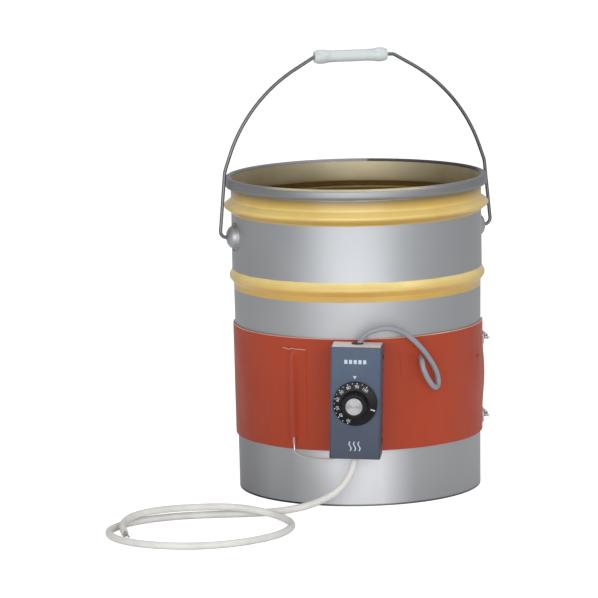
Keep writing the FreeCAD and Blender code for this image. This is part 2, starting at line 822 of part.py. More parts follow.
def capillary_points():
    start = [ridge_point(POCKET_FOOT + BULB_SETBACK), ridge_point(POCKET_FOOT - CAPILLARY_DROP)]
    entry = -HALF_HEIGHT - CAPILLARY_STRAIGHT
    hole = (CAPILLARY_HOLE_ACROSS, -CAPILLARY_HOLE_DEPTH)
    end = [box_point(*hole, entry), box_point(*hole, entry + CAPILLARY_STRAIGHT + CAPILLARY_INSIDE)]
    return start + CAPILLARY_ROUTE + end


def capillary():
    points = capillary_points()
    print_route("sensor tube", points, widest_bends(points))
    return tube(points, widest_bends(points), CAPILLARY_RADIUS)


def capillary_sleeve():
    """A short braided sleeve round the tube where it leaves the pocket."""
    top, foot = [Vector(*point) for point in capillary_points()[:2]]
    along = (top - foot).normalize()
    start = foot + along * SLEEVE_SHORT
    end = top - along * BUSH_GAP
    outer = rod(SLEEVE_RADIUS, tuple(start), tuple(end))
    inner = rod(CAPILLARY_RADIUS + BUSH_GAP, tuple(start), tuple(end))
    return outer.cut(inner)


def entry_point(out):
    """A point in front of the lead's entry, on the patch's outer face or out from it."""
    turn = math.radians(ENTRY_TURN)
    radius = band_outside(ENTRY_HEIGHT) + PATCH_SHEET + out
    return (radius * math.cos(turn), radius * math.sin(turn), ENTRY_HEIGHT)


def lead_patch():
    """The patch that the lead comes out of, with a moulded collar round it."""
    sheet = sector(PATCH_FOOT, PATCH_TOP, PATCH_SHEET, PATCH_TURN, PATCH_WIDTH)
    end = Vector(*entry_point(0.0))
    out = (Vector(*entry_point(ENTRY_RUN)) - end).normalize()
    root = end - out * (2 * PATCH_SHEET)
    collar = Part.makeCylinder(COLLAR_RADIUS, 2 * PATCH_SHEET + COLLAR_RISE, root, out)
    patch = sheet.fuse(collar).cut(cone_within(band_outside))
    hole_start = end - out * BUSH_GAP
    hole = Part.makeCylinder(LEAD_RADIUS + BUSH_GAP, 2 * COLLAR_RISE, hole_start, out)
    return patch.cut(hole).removeSplitter().Solids[0]


# Control box. It is drawn with its back on y = 0, its front towards -Y and its middle at the
# origin, and then leant and set on the band.

BOX_BACK = -(band_outside(BOX_MIDDLE) + PAD_THICKNESS)
FRONT_INSIDE = -(BOX_DEPTH - BOX_SHEET)
CHASSIS_WIDTH = BOX_WIDTH - 2 * BOX_SHEET - 2 * BOX_FIT
HALF_HEIGHT = BOX_HEIGHT / 2


def in_place(shape):
    copy = shape.copy()
    lean = Rotation(Vector(0, 1, 0), BOX_LEAN)
    copy.Placement = Placement(Vector(BOX_ACROSS, BOX_BACK, BOX_MIDDLE), lean).multiply(copy.Placement)
    return copy


def box_point(across, depth, up):
    """A point of the box's own frame, put in the pail's frame."""
    lean = Rotation(Vector(0, 1, 0), BOX_LEAN)
    point = Vector(BOX_ACROSS, BOX_BACK, BOX_MIDDLE) + lean.multVec(Vector(across, depth, up))
    return (point.x, point.y, point.z)


def facing_front(shape):
    """Turns a piece drawn along X so that X becomes the way out of the box's front."""
    shape.rotate(Vector(0, 0, 0), UP, -90)
    return shape


def screw_places():
    """Cover screws: side, depth and height of each."""
    reach = HALF_HEIGHT - SCREW_INSET
    return [(side, -SCREW_DEPTH, up) for side in (-1, 1) for up in (-reach, reach)]


def screw_pins(radius, start, end):
    """Pins along X at the cover screws, from start to end behind the cover's outer face."""
    face = BOX_WIDTH / 2
    pins = []
    for side, depth, up in screw_places():
        pins.append(rod(radius, (side * (face - start), depth, up), (side * (face - end), depth, up)))
    return pins


def box_rivet_pins(radius, start=0.0, placed=True):
    pins = []
    for up in (-BOX_RIVET_SPACING / 2, BOX_RIVET_SPACING / 2):
        pin = rod(radius, (0, start, up), (0, PAD_THICKNESS + 3 * BAND_SHEET, up))
        pins.append(in_place(pin) if placed else pin)
    return pins


def box_chassis():
    edge = FRONT_INSIDE + BOX_BEND - BOX_SHEET + BOX_FIT
    line = [
        (edge, HALF_HEIGHT),
        (0.0, HALF_HEIGHT),
        (0.0, -HALF_HEIGHT),
        (edge, -HALF_HEIGHT),
    ]
    section = quarter(strip_face(line, [CHASSIS_BEND] * 2, -BOX_SHEET))
    pan = moved(section.extrude(Vector(CHASSIS_WIDTH, 0, 0)), (-CHASSIS_WIDTH / 2, 0, 0))
    lip_top = HALF_HEIGHT - BOX_SHEET - CHASSIS_BEND
    for side in (-1, 1):
        across = sorted((side * CHASSIS_WIDTH / 2, side * (CHASSIS_WIDTH / 2 - BOX_SHEET)))
        lip = block((across[0], -CHASSIS_LIP, -lip_top), (across[1], -BOX_SHEET / 2, lip_top))
        pan = pan.fuse(lip)
    top = HALF_HEIGHT
    holes = [
        rod(grommet_neck(LEAD_RADIUS), (0, -LEAD_HOLE_DEPTH, 0), (0, -LEAD_HOLE_DEPTH, top)),
        rod(grommet_neck(CORD_RADIUS), (0, -CORD_HOLE_DEPTH, -top), (0, -CORD_HOLE_DEPTH, 0)),
        rod(
            CAPILLARY_RADIUS * 2,
            (CAPILLARY_HOLE_ACROSS, -CAPILLARY_HOLE_DEPTH, -top),
            (CAPILLARY_HOLE_ACROSS, -CAPILLARY_HOLE_DEPTH, -top + 2 * BOX_SHEET),
        ),
    ]
    holes += screw_pins(SCREW_RADIUS, 0, SCREW_LENGTH)
    holes += box_rivet_pins(BOX_RIVET_RADIUS, -2 * BOX_SHEET, placed=False)
    pan = pan.cut(Part.makeCompound(holes))
    return in_place(pan.removeSplitter().Solids[0])


def box_cover():
    half = BOX_WIDTH / 2
    line = [(-half, 0.0), (-half, -BOX_DEPTH), (half, -BOX_DEPTH), (half, 0.0)]
    section = laid(strip_face(line, [BOX_BEND] * 2, BOX_SHEET))
    cover = moved(section.extrude(Vector(0, 0, BOX_HEIGHT)), (0, 0, -HALF_HEIGHT))
    holes = screw_pins(SCREW_RADIUS, -BOX_SHEET, 2 * BOX_SHEET)
    bush_hole = rod(BUSH_RADIUS + BUSH_HOLE_GAP, (0, FRONT_INSIDE + CUT_OVER, 0), (0, -BOX_DEPTH - CUT_OVER, 0))
    holes.append(bush_hole)
    return in_place(cover.cut(Part.makeCompound(holes)))


def cover_screws():
    shanks = screw_pins(SCREW_RADIUS, 0, SCREW_LENGTH)
    heads = screw_pins(SCREW_HEAD_RADIUS, -SCREW_HEAD_RISE, 0)
    solids = []
    for shank, head in zip(shanks, heads):
        solids.append(in_place(shank.fuse(head).removeSplitter().Solids[0]))
    return Part.makeCompound(solids)


def box_pad():
    """A soft saddle between the box's flat back and the round band."""
    half = BOX_WIDTH / 2 - PAD_MARGIN
    tall = HALF_HEIGHT - PAD_MARGIN
    pad = in_place(block((-half, 0, -tall), (half, 3 * PAD_THICKNESS, tall)))
    pad = pad.cut(cone_within(band_outside)).cut(Part.makeCompound(box_rivet_pins(BOX_RIVET_RADIUS)))
    return pad.Solids[0]


def box_rivets():
    """Two rivets that hold the chassis through the pad to the band."""
    inside = cone_within(band_inside)
    solids = []
    for up in (-BOX_RIVET_SPACING / 2, BOX_RIVET_SPACING / 2):
        shank = rod(BOX_RIVET_RADIUS, (0, -BOX_SHEET, up), (0, PAD_THICKNESS + 3 * BAND_SHEET, up))
        head = rod(BOX_RIVET_HEAD, (0, -2 * BOX_SHEET, up), (0, -BOX_SHEET, up))
        rivet = in_place(shank.fuse(head)).cut(inside)
        solids.append(rivet.removeSplitter().Solids[0])
    return Part.makeCompound(solids)


def grommet_neck(cable_radius):
    return cable_radius + BUSH_GAP + GROMMET_WALL


def grommet(cable_radius, depth, face_height, inward):
    """A rubber ring in the chassis, with a lip on each side of the sheet."""
    bore = cable_radius + BUSH_GAP
    neck = grommet_neck(cable_radius)
    lip = neck + GROMMET_LIP
    outline = [
        (-GROMMET_RISE, bore),
        (-GROMMET_RISE, neck),
        (-GROMMET_RISE / 2, lip),
        (0.0, lip),
        (0.0, neck),
        (BOX_SHEET, neck),
        (BOX_SHEET, lip),
        (BOX_SHEET + GROMMET_RISE / 2, lip),
        (BOX_SHEET + GROMMET_RISE, neck),
        (BOX_SHEET + GROMMET_RISE, bore),
    ]
    ring = turned_across(outline)
    ring.rotate(Vector(0, 0, 0), Vector(0, 1, 0), 90 * inward)
    return in_place(moved(ring, (0, -depth, face_height)))


def control_body():
    """The switch that the bulb works: a moulded block with a threaded bush to the front."""
    front = FRONT_INSIDE + CONTROL_FACE_GAP
    half = CONTROL_WIDTH / 2
    tall = CONTROL_HEIGHT / 2
    body = block((-half, front, -tall), (half, front + CONTROL_DEPTH, tall))
    upright = [e for e in body.Edges if e.BoundBox.YLength > CONTROL_DEPTH / 2]
    body = body.makeFillet(CONTROL_CORNER, upright)
    body = body.fuse(rod(BUSH_RADIUS, (0, front, 0), (0, -BOX_DEPTH - BUSH_REACH, 0)))
    bore_end = front + SPINDLE_INSIDE
    bore = rod(SPINDLE_RADIUS + SPINDLE_FIT, (0, bore_end, 0), (0, -BOX_DEPTH - 2 * BUSH_REACH, 0))
    return in_place(body.cut(bore).removeSplitter().Solids[0])


def nut_corner():
    """Radius of the circle through the nut's corners."""
    return NUT_ACROSS / 2 / math.cos(math.pi / NUT_SIDES)


def bush_nut():
    points = []
    for turn in range(NUT_SIDES + 1):
        angle = 2 * math.pi * turn / NUT_SIDES
        points.append(Vector(nut_corner() * math.cos(angle), -BOX_DEPTH, nut_corner() * math.sin(angle)))
    nut = Part.Face(Part.makePolygon(points)).extrude(Vector(0, -NUT_THICKNESS, 0))
    hole_end = -BOX_DEPTH - 2 * NUT_THICKNESS
    hole = rod(BUSH_RADIUS + SPINDLE_FIT, (0, -BOX_DEPTH + CUT_OVER, 0), (0, hole_end, 0))
    return in_place(nut.cut(hole))


def spindle():
    inner = FRONT_INSIDE + SPINDLE_INSIDE
    return in_place(rod(SPINDLE_RADIUS, (0, inner, 0), (0, -BOX_DEPTH - SPINDLE_OUTSIDE, 0)))


CAP_SEAT = KNOB_RISE - (CAP_THICKNESS - CAP_PROUD)


def dial_knob():
    """A skirted knob in one moulding, hollow over the nut and fluted round its grip."""
    skirt_top = DIAL_GAP + DIAL_EDGE
    pocket = BUSH_REACH + DIAL_GAP
    pocket_radius = nut_corner() + NUT_ROOM
    ceiling = skirt_top - DIAL_WALL
    outline = [
        (SPINDLE_OUTSIDE, 0.0),
        (SPINDLE_OUTSIDE, SPINDLE_RADIUS),
        (pocket, SPINDLE_RADIUS),
        (pocket, pocket_radius),
        (ceiling, pocket_radius),
        (ceiling, DIAL_RADIUS - DIAL_WALL),
        (DIAL_GAP, DIAL_RADIUS - DIAL_WALL),
        (DIAL_GAP, DIAL_RADIUS),
        (skirt_top, DIAL_RADIUS),
        (skirt_top + DIAL_DISH, KNOB_RADIUS),
        (KNOB_RISE, KNOB_TOP_RADIUS),
        (KNOB_RISE, CAP_RADIUS + CAP_GAP),
        (CAP_SEAT, CAP_RADIUS + CAP_GAP),
        (CAP_SEAT, 0.0),
    ]
    knob = turned_across(outline)
    flutes = []
    for flute in range(KNOB_FLUTES):
        cutter = rod(
            KNOB_FLUTE_RADIUS,
            (skirt_top + DIAL_DISH + KNOB_FLUTE_RADIUS, 0, KNOB_RADIUS + KNOB_FLUTE_RADIUS / 2),
            (KNOB_RISE + CUT_OVER, 0, KNOB_TOP_RADIUS + KNOB_FLUTE_RADIUS / 2),
        )
        cutter.rotate(Vector(0, 0, 0), Vector(1, 0, 0), FULL_TURN * flute / KNOB_FLUTES)
        flutes.append(cutter)
    knob = knob.cut(Part.makeCompound(flutes))
    return in_place(moved(facing_front(knob.Solids[0]), (0, -BOX_DEPTH, 0)))


def knob_cap():
    """A thin turned disc let into the top of the knob."""
    face = CAP_SEAT + CAP_THICKNESS
    outline = [
        (CAP_SEAT, 0.0),
        (CAP_SEAT, CAP_RADIUS),
        (face - CAP_BEVEL, CAP_RADIUS),
        (face, CAP_RADIUS - CAP_BEVEL),
        (face, 0.0),
    ]
    return in_place(moved(facing_front(turned_across(outline)), (0, -BOX_DEPTH, 0)))


def terminal_block():
    """Three brass ways in one moulded block on the chassis's back."""
    half = TERMINAL_LENGTH / 2
    top = -TERMINAL_BELOW
    body = block((-half, -BOX_SHEET - TERMINAL_HEIGHT, top - TERMINAL_WIDTH), (half, -BOX_SHEET, top))
    cuts = []
    pitch = TERMINAL_LENGTH / TERMINAL_WAYS
    middle = -BOX_SHEET - TERMINAL_HEIGHT / 2
    low = top - TERMINAL_WIDTH - CUT_OVER
    screw_up = top - TERMINAL_WIDTH / 2
    for way in range(TERMINAL_WAYS):
        x = (way + 0.5) * pitch - half
        cuts.append(rod(TERMINAL_BORE, (x, middle, low), (x, middle, top + CUT_OVER)))
        cuts.append(rod(TERMINAL_SCREW_BORE, (x, middle, screw_up), (x, -2 * TERMINAL_HEIGHT, screw_up)))
    return in_place(body.cut(Part.makeCompound(cuts)))


def cord_clamp():
    """A saddle on the chassis's back that grips the mains cord inside the box."""
    half = CLAMP_LENGTH / 2
    foot = -HALF_HEIGHT + CLAMP_ABOVE
    reach = CORD_HOLE_DEPTH + CORD_RADIUS + CLAMP_WALL
    body = block((-half, -reach, foot), (half, -BOX_SHEET, foot + CLAMP_WIDTH))
    low = (0, -CORD_HOLE_DEPTH, foot - CUT_OVER)
    high = (0, -CORD_HOLE_DEPTH, foot + CLAMP_WIDTH + CUT_OVER)
    hole = rod(CORD_RADIUS + BUSH_GAP, low, high)
    ahead = -BOX_SHEET - CLAMP_WALL
    upright = [e for e in body.Edges if e.BoundBox.ZLength > CLAMP_WIDTH / 2 and e.BoundBox.YMax < ahead]
    return in_place(body.makeFillet(CLAMP_CORNER, upright).cut(hole))


# Cords

def lead_points():
    start = [
        box_point(0, -LEAD_HOLE_DEPTH, HALF_HEIGHT - LEAD_INSIDE),
        box_point(0, -LEAD_HOLE_DEPTH, HALF_HEIGHT + LEAD_STRAIGHT),
    ]
    return start + LEAD_ROUTE + [entry_point(ENTRY_RUN), entry_point(0.0)]


def cord_points():
    start = [
        box_point(0, -CORD_HOLE_DEPTH, -HALF_HEIGHT + CORD_INSIDE),
        box_point(0, -CORD_HOLE_DEPTH, -HALF_HEIGHT - CORD_STRAIGHT),
    ]
    return start + CORD_ROUTE


def print_route(name, points, bends):
    path = Part.Wire(rounded_edges(points, bends))
    runs = [(Vector(*b) - Vector(*a)).Length for a, b in zip(points, points[1:])]
    print(name, "length", round(path.Length, 1))
    print("  runs", [round(run, 1) for run in runs])
    print("  radii", [round(bend, 1) for bend in bends])
    return path.Length


def cord_tube(name, points, radius, exit_bend):
    bends = widest_bends(points)
    bends[0] = min(bends[0], exit_bend)
    length = print_route(name, points, bends)
    solid = tube(points, bends, radius)
    print("  volume ratio", round(solid.Volume / (math.pi * radius ** 2 * length), 4), solid.isValid())
    return solid


def core_ends():
    """The three bare core ends beyond the cut sheath."""
    end = Vector(*CORD_ROUTE[-1])
    along = (end - Vector(*CORD_ROUTE[-2])).normalize()
    side = along.cross(UP).normalize()
    over = side.cross(along)
    names = ("brown_core", "blue_core", "earth_core")
    cores = {}
    for number, name in enumerate(names):
        angle = math.pi / 2 + 2 * math.pi * number / len(names)
        offset = side * math.cos(angle) + over * math.sin(angle)
        start = end + along * CORE_START_GAP + offset * CORE_SPREAD
        length = CORE_LENGTH + number * CORE_STAGGER
        finish = start + (along + offset * CORE_FAN).normalize() * length
        cores[name] = rod(CORE_RADIUS, tuple(start), tuple(finish))
    return cores


save(pail_shell(), "pail_shell")
save(pail_base(), "pail_base")
save(upper_paint(), "upper_paint")
save(lower_paint(), "lower_paint")

right_ear = spun(lifted(ear(), EAR_HEIGHT), EAR_TURN)
save(right_ear, "right_ear")
save(spun(right_ear, FULL_TURN / 2), "left_ear")
save(spun(lifted(bail_wire(), EAR_HEIGHT), EAR_TURN), "bail_wire")
save(spun(lifted(bail_grip(), EAR_HEIGHT), EAR_TURN), "bail_grip")

save(heater_band(), "heater_band")
save(end_rivet(), "end_rivet")
for level, height in spring_heights().items():
    save(tension_spring(height), level + "_spring")
    for place, (turn, toward) in hook_sides().items():
        save(band_hook(turn, toward, height), level + "_" + place + "_hook")
save(hook_rivets(), "hook_rivets")

save(sensor_pocket(), "sensor_pocket")
save(sensor_bulb(), "sensor_bulb")
save(capillary(), "capillary")
save(capillary_sleeve(), "capillary_sleeve")
save(lead_patch(), "lead_patch")

save(box_pad(), "box_pad")
save(box_rivets(), "box_rivets")
save(box_chassis(), "box_chassis")
save(box_cover(), "box_cover")
save(cover_screws(), "cover_screws")
save(grommet(LEAD_RADIUS, LEAD_HOLE_DEPTH, HALF_HEIGHT, 1), "lead_grommet")
save(grommet(CORD_RADIUS, CORD_HOLE_DEPTH, -HALF_HEIGHT, -1), "cord_grommet")
save(control_body(), "control_body")
save(bush_nut(), "bush_nut")
save(spindle(), "spindle")
save(dial_knob(), "dial_knob")
save(knob_cap(), "knob_cap")
save(terminal_block(), "terminal_block")
save(cord_clamp(), "cord_clamp")

save(cord_tube("heater lead", lead_points(), LEAD_RADIUS, LEAD_EXIT_BEND), "heater_lead")
save(cord_tube("mains cord", cord_points(), CORD_RADIUS, CORD_EXIT_BEND), "mains_cord")
for node, core in core_ends().items():
    save(core, node)
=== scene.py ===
import math

import bmesh
import bpy
from mathutils import Matrix, Vector, noise


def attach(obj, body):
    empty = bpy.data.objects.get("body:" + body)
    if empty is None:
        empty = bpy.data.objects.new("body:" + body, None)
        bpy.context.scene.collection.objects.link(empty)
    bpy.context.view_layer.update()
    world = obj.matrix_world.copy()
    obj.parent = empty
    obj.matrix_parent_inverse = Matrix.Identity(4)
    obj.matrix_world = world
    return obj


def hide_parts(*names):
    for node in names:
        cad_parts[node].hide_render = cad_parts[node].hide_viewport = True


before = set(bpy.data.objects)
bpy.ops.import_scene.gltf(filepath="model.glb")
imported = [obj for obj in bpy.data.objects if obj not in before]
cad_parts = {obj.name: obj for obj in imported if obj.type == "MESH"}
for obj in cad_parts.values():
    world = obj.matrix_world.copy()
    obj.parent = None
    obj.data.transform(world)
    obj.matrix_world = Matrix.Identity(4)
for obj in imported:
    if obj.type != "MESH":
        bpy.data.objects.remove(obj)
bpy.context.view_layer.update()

# Camera. A long lens a little above the rim looks down at the pail, from
# slightly to the right of the control box's front.
def shown(name, data):
    """A new object of some data, linked to the scene."""
    made = bpy.data.objects.new(name, data)
    bpy.context.scene.collection.objects.link(made)
    return made


camera_data = bpy.data.cameras.new("camera")
camera_data.lens = 249.946
camera_data.sensor_width = 36.0
camera_data.clip_end = 50.0
bpy.context.scene.view_settings.view_transform = "Standard"
camera = shown("camera", camera_data)
bpy.context.scene.camera = camera
camera_right = Vector((0.9965394, 0.0813123, -0.0172521))
camera_forward = Vector((-0.0829934, 0.9848842, -0.1520369))
camera_up = camera_right.cross(camera_forward)
camera.matrix_world = Matrix.Translation((0.328153, -4.692811, 0.938684)) @ Matrix(
    (camera_right, camera_up, -camera_forward)
).transposed().to_4x4()


# Mains cord. Three cores in a round white PVC sheath, 8 mm thick. It hangs out
# of the box's underside, lies in one loop on the floor, runs back on top of
# its own first stretch and ends cut off, inside the loop.
def feed(node, feeds):
    """Gives a node's inputs their values, or joins them to other nodes."""
    for socket, source in feeds.items():
        if isinstance(source, bpy.types.NodeSocket):
            node.id_data.links.new(source, node.inputs[socket])
        else:
            node.inputs[socket].default_value = source


def add(tree, kind, feeds=(), **settings):
    node = tree.nodes.new(kind)
    for name, value in settings.items():
        setattr(node, name, value)
    feed(node, dict(feeds))
    return node


def new_finish(name, **fixed):
    """A material, its node tree and its surface shader."""
    finish = bpy.data.materials.new(name)
    finish.use_nodes = True
    shader = finish.node_tree.nodes["Principled BSDF"]
    for socket, value in fixed.items():
        shader.inputs[socket.replace("_", " ")].default_value = value
    return finish, finish.node_tree, shader


def place(tree):
    """The point of the surface in the object's own frame, in metres."""
    return add(tree, "ShaderNodeTexCoord").outputs["Object"]


def cloud(tree, scale, detail=3.0, stretch=(1.0, 1.0, 1.0)):
    """Soft noise with about that many spots to a metre."""
    spread = add(tree, "ShaderNodeMapping", {"Vector": place(tree), "Scale": stretch})
    feeds = {"Vector": spread.outputs[0], "Scale": scale, "Detail": detail}
    return add(tree, "ShaderNodeTexNoise", feeds).outputs["Fac"]


def between(tree, factor, low, high, low_value, high_value):
    """Moves from one value to another while the factor goes from low to high."""
    feeds = {0: factor, 1: low, 2: high, 3: low_value, 4: high_value}
    return add(tree, "ShaderNodeMapRange", feeds).outputs[0]


def blended(tree, factor, one, other):
    """A colour between two colours."""
    mix = add(tree, "ShaderNodeMix", data_type="RGBA")
    feed(mix, {0: factor, 6: one, 7: other})
    return mix.outputs[2]


def mottled(tree, scale, one, other, limits=None):
    """Two colours in soft spots, with about that many spots to a metre."""
    spots = cloud(tree, scale)
    if limits:
        spots = between(tree, spots, *limits, 0.0, 1.0)
    return blended(tree, spots, colour(*one), colour(*other))


def shaded(tree, height, base, stops):
    """A colour multiplied by a run of (height, colour) stops, heights in metres."""
    ramp = add(tree, "ShaderNodeValToRGB", {0: height})
    marks = ramp.color_ramp.elements
    while len(marks) < len(stops):
        marks.new(1.0)
    for mark, (where, tint) in zip(marks, stops):
        mark.position = where
        mark.color = colour(*tint)
    mix = add(tree, "ShaderNodeMix", data_type="RGBA", blend_type="MULTIPLY")
    feed(mix, {0: 1.0, 6: base, 7: ramp.outputs[0]})
    return mix.outputs[2]


def bumped(tree, height, distance, strength=1.0):
    feeds = {"Height": height, "Distance": distance, "Strength": strength}
    return add(tree, "ShaderNodeBump", feeds).outputs[0]


def colour(red, green, blue):
    return (red, green, blue, 1.0)


def mottled_finish(name, tones, grain=None, **fixed):
    """A finish of mottled tones, with a grain of (scale, depth, strength)."""
    finish, tree, shader = new_finish(name, **fixed)
    feed(shader, {"Base Color": mottled(tree, *tones)})
    if grain:
        scale, depth, strength = grain
        feed(shader, {"Normal": bumped(tree, cloud(tree, scale), depth, strength)})
    return finish


def cord_curve(name, route, radius, finish):
    """A round cord on one smooth spline."""
    curve = bpy.data.curves.new(name, "CURVE")
    curve.dimensions = "3D"
    curve.bevel_depth = radius
    curve.bevel_resolution = 6
    curve.resolution_u = 12
    curve.use_fill_caps = True
    spline = curve.splines.new("NURBS")
    spline.points.add(len(route) - 1)
    for point, where in zip(spline.points, route):
        point.co = (*where, 1.0)
    spline.order_u = 3
    spline.use_endpoint_u = True
    curve.materials.append(finish)
    return shown(name, curve)


white_sheath = mottled_finish(
    "white sheath",
    (30.0, (0.63, 0.625, 0.60), (0.53, 0.52, 0.49), (0.45, 0.75)),
    (900.0, 0.0002, 0.3),
    Roughness=0.42,
)
mains_route = [
    (0.0073, -0.1648, 0.0777), (0.0067, -0.1648, 0.0575), (-0.0012, -0.1672, 0.0375),
    (-0.0155, -0.1712, 0.0222), (-0.0335, -0.1748, 0.0132), (-0.0520, -0.1778, 0.0072),
    (-0.0770, -0.1855, 0.0043), (-0.1080, -0.1960, 0.0040), (-0.1450, -0.2005, 0.0040),
    (-0.1820, -0.2080, 0.0040), (-0.2140, -0.2230, 0.0040), (-0.2410, -0.2480, 0.0040),
    (-0.2580, -0.2860, 0.0040), (-0.2470, -0.3270, 0.0040), (-0.2160, -0.3560, 0.0040),
    (-0.1730, -0.3690, 0.0040), (-0.1320, -0.3640, 0.0040), (-0.0970, -0.3440, 0.0040),
    (-0.0680, -0.3110, 0.0040), (-0.0560, -0.2720, 0.0040), (-0.0600, -0.2390, 0.0040),
    (-0.0755, -0.2170, 0.0055), (-0.0990, -0.2065, 0.0095), (-0.1260, -0.2038, 0.0130),
    (-0.1550, -0.2068, 0.0138), (-0.1910, -0.2150, 0.0138), (-0.2170, -0.2310, 0.0138),
    (-0.2350, -0.2530, 0.0130), (-0.2425, -0.2740, 0.0090), (-0.2395, -0.2900, 0.0050),
    (-0.2360, -0.3020, 0.0042),
]
mains_cord = cord_curve("mains_cord_sheath", mains_route, 0.004, white_sheath)

# Cord ends. The sheath is cut square, and the three insulated cores stick out
# of it a few millimetres, dulled: brown, blue, and green with a yellow stripe.
core_colours = {
    "brown": ((0.26, 0.21, 0.18), (0.34, 0.28, 0.24)),
    "blue": ((0.28, 0.32, 0.38), (0.36, 0.40, 0.46)),
    "earth": ((0.30, 0.34, 0.27), (0.46, 0.46, 0.36)),
}
core_radius = 0.00115
cord_end = Vector(mains_route[-1])
cord_ahead = (cord_end - Vector(mains_route[-2])).normalized()
cord_side = cord_ahead.cross(Vector((0.0, 0.0, 1.0))).normalized()
cord_over = cord_side.cross(cord_ahead)
for number, (core, (dark, light)) in enumerate(core_colours.items()):
    finish = mottled_finish(core + " core", (500.0, dark, light, (0.48, 0.52)), Roughness=0.4)
    angle = math.radians(90 + 120 * number)
    outward = cord_side * math.cos(angle) + cord_over * math.sin(angle)
    start = cord_end + outward * 0.0019 - cord_ahead * 0.0005
    middle = start + (cord_ahead + outward * 0.05).normalized() * 0.005
    tip = start + (cord_ahead + outward * 0.12).normalized() * (0.0094 + number * 0.001)
    piece = cord_curve(core + "_core_end", [start, middle, tip], core_radius, finish)
    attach(piece, "pail")
    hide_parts(core + "_core")

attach(mains_cord, "pail")
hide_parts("mains_cord")

# Heater lead. A grey silicone cable, 6 mm thick and limp. It arches out of the
# box's top, drops to a tight fold and comes back up into the band.
lead_grey = mottled_finish(
    "grey silicone",
    (60.0, (0.215, 0.23, 0.27), (0.275, 0.29, 0.33)),
    (1200.0, 0.0002, 0.3),
    Roughness=0.42,
)
lead_route = [
    (0.0102, -0.1593, 0.1830), (0.0131, -0.1593, 0.1901), (0.0167, -0.1602, 0.1961),
    (0.0222, -0.1612, 0.2005), (0.0296, -0.1613, 0.2038), (0.0391, -0.1594, 0.2056),
    (0.0499, -0.1554, 0.2046), (0.0609, -0.1490, 0.1995), (0.0707, -0.1412, 0.1904),
    (0.0806, -0.1322, 0.1782), (0.0890, -0.1232, 0.1641), (0.0949, -0.1162, 0.1511),
    (0.0973, -0.1130, 0.1402), (0.0968, -0.1168, 0.1332), (0.0943, -0.1262, 0.1324),
    (0.0908, -0.1330, 0.1374), (0.0859, -0.1368, 0.1462), (0.0818, -0.1384, 0.1565),
    (0.0802, -0.1340, 0.1637), (0.0793, -0.1271, 0.1658), (0.0781, -0.1212, 0.1666),
]
heater_lead = cord_curve("heater_lead_cable", lead_route, 0.003, lead_grey)
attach(heater_lead, "pail")
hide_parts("heater_lead")

# Studio. A pale floor, a white surround and soft lamps. The floor only shows
# the soft shadow that the pail and the cord leave on it.
floor_finish, tree, shader = new_finish("pale floor", Roughness=0.9)
shader.inputs["Specular IOR Level"].default_value = 0.1
feed(shader, {
    "Base Color": mottled(tree, 3.0, (0.90, 0.90, 0.90), (0.93, 0.93, 0.93)),
})
seen = add(tree, "ShaderNodeLightPath").outputs["Is Camera Ray"]
shown_white = add(tree, "ShaderNodeEmission", {"Color": colour(1.0, 1.0, 1.0)})
feed(shown_white, {"Strength": between(tree, seen, 0.0, 1.0, 0.0, 0.62)})
both = add(tree, "ShaderNodeAddShader", {0: shader.outputs[0], 1: shown_white.outputs[0]})
feed(tree.nodes["Material Output"], {"Surface": both.outputs[0]})
floor_mesh = bpy.data.meshes.new("floor")
reach = 12.0
corners = [(-reach, -reach, 0.0), (reach, -reach, 0.0), (reach, reach, 0.0), (-reach, reach, 0.0)]
floor_mesh.from_pydata(corners, [], [(0, 1, 2, 3)])
floor_mesh.materials.append(floor_finish)
floor = shown("floor", floor_mesh)

world = bpy.data.worlds.new("surround")
world.use_nodes = True
bpy.context.scene.world = world
tree = world.node_tree
tree.nodes.clear()
rays = add(tree, "ShaderNodeLightPath")
soft_light = add(tree, "ShaderNodeBackground", {"Color": colour(1.0, 1.0, 1.0), "Strength": 0.48})
white = add(tree, "ShaderNodeBackground", {"Color": colour(1.0, 1.0, 1.0), "Strength": 1.0})
mixed = add(tree, "ShaderNodeMixShader", {
    0: rays.outputs["Is Camera Ray"],
    1: soft_light.outputs[0],
    2: white.outputs[0],
})
add(tree, "ShaderNodeOutputWorld", {"Surface": mixed.outputs[0]})


def lamp(name, where, target, size, power):
    light = bpy.data.lights.new(name, "AREA")
    light.shape = "RECTANGLE"
    light.size, light.size_y = size
    light.energy = power
    holder = shown(name, light)
    holder.location = where
    aim = Vector(target) - Vector(where)
    holder.rotation_euler = aim.to_track_quat("-Z", "Y").to_euler()
    holder.visible_camera = False


lamp("lamp front", (0.0, -2.5, 0.66), (0.0, 0.0, 0.2), (3.2, 1.2), 42.0)
lamp("lamp right", (1.9, -1.0, 2.2), (0.0, 0.0, 0.2), (1.0, 1.0), 10.0)
lamp("lamp top", (0.0, 0.2, 2.6), (0.0, 0.0, 0.2), (1.8, 1.4), 14.0)

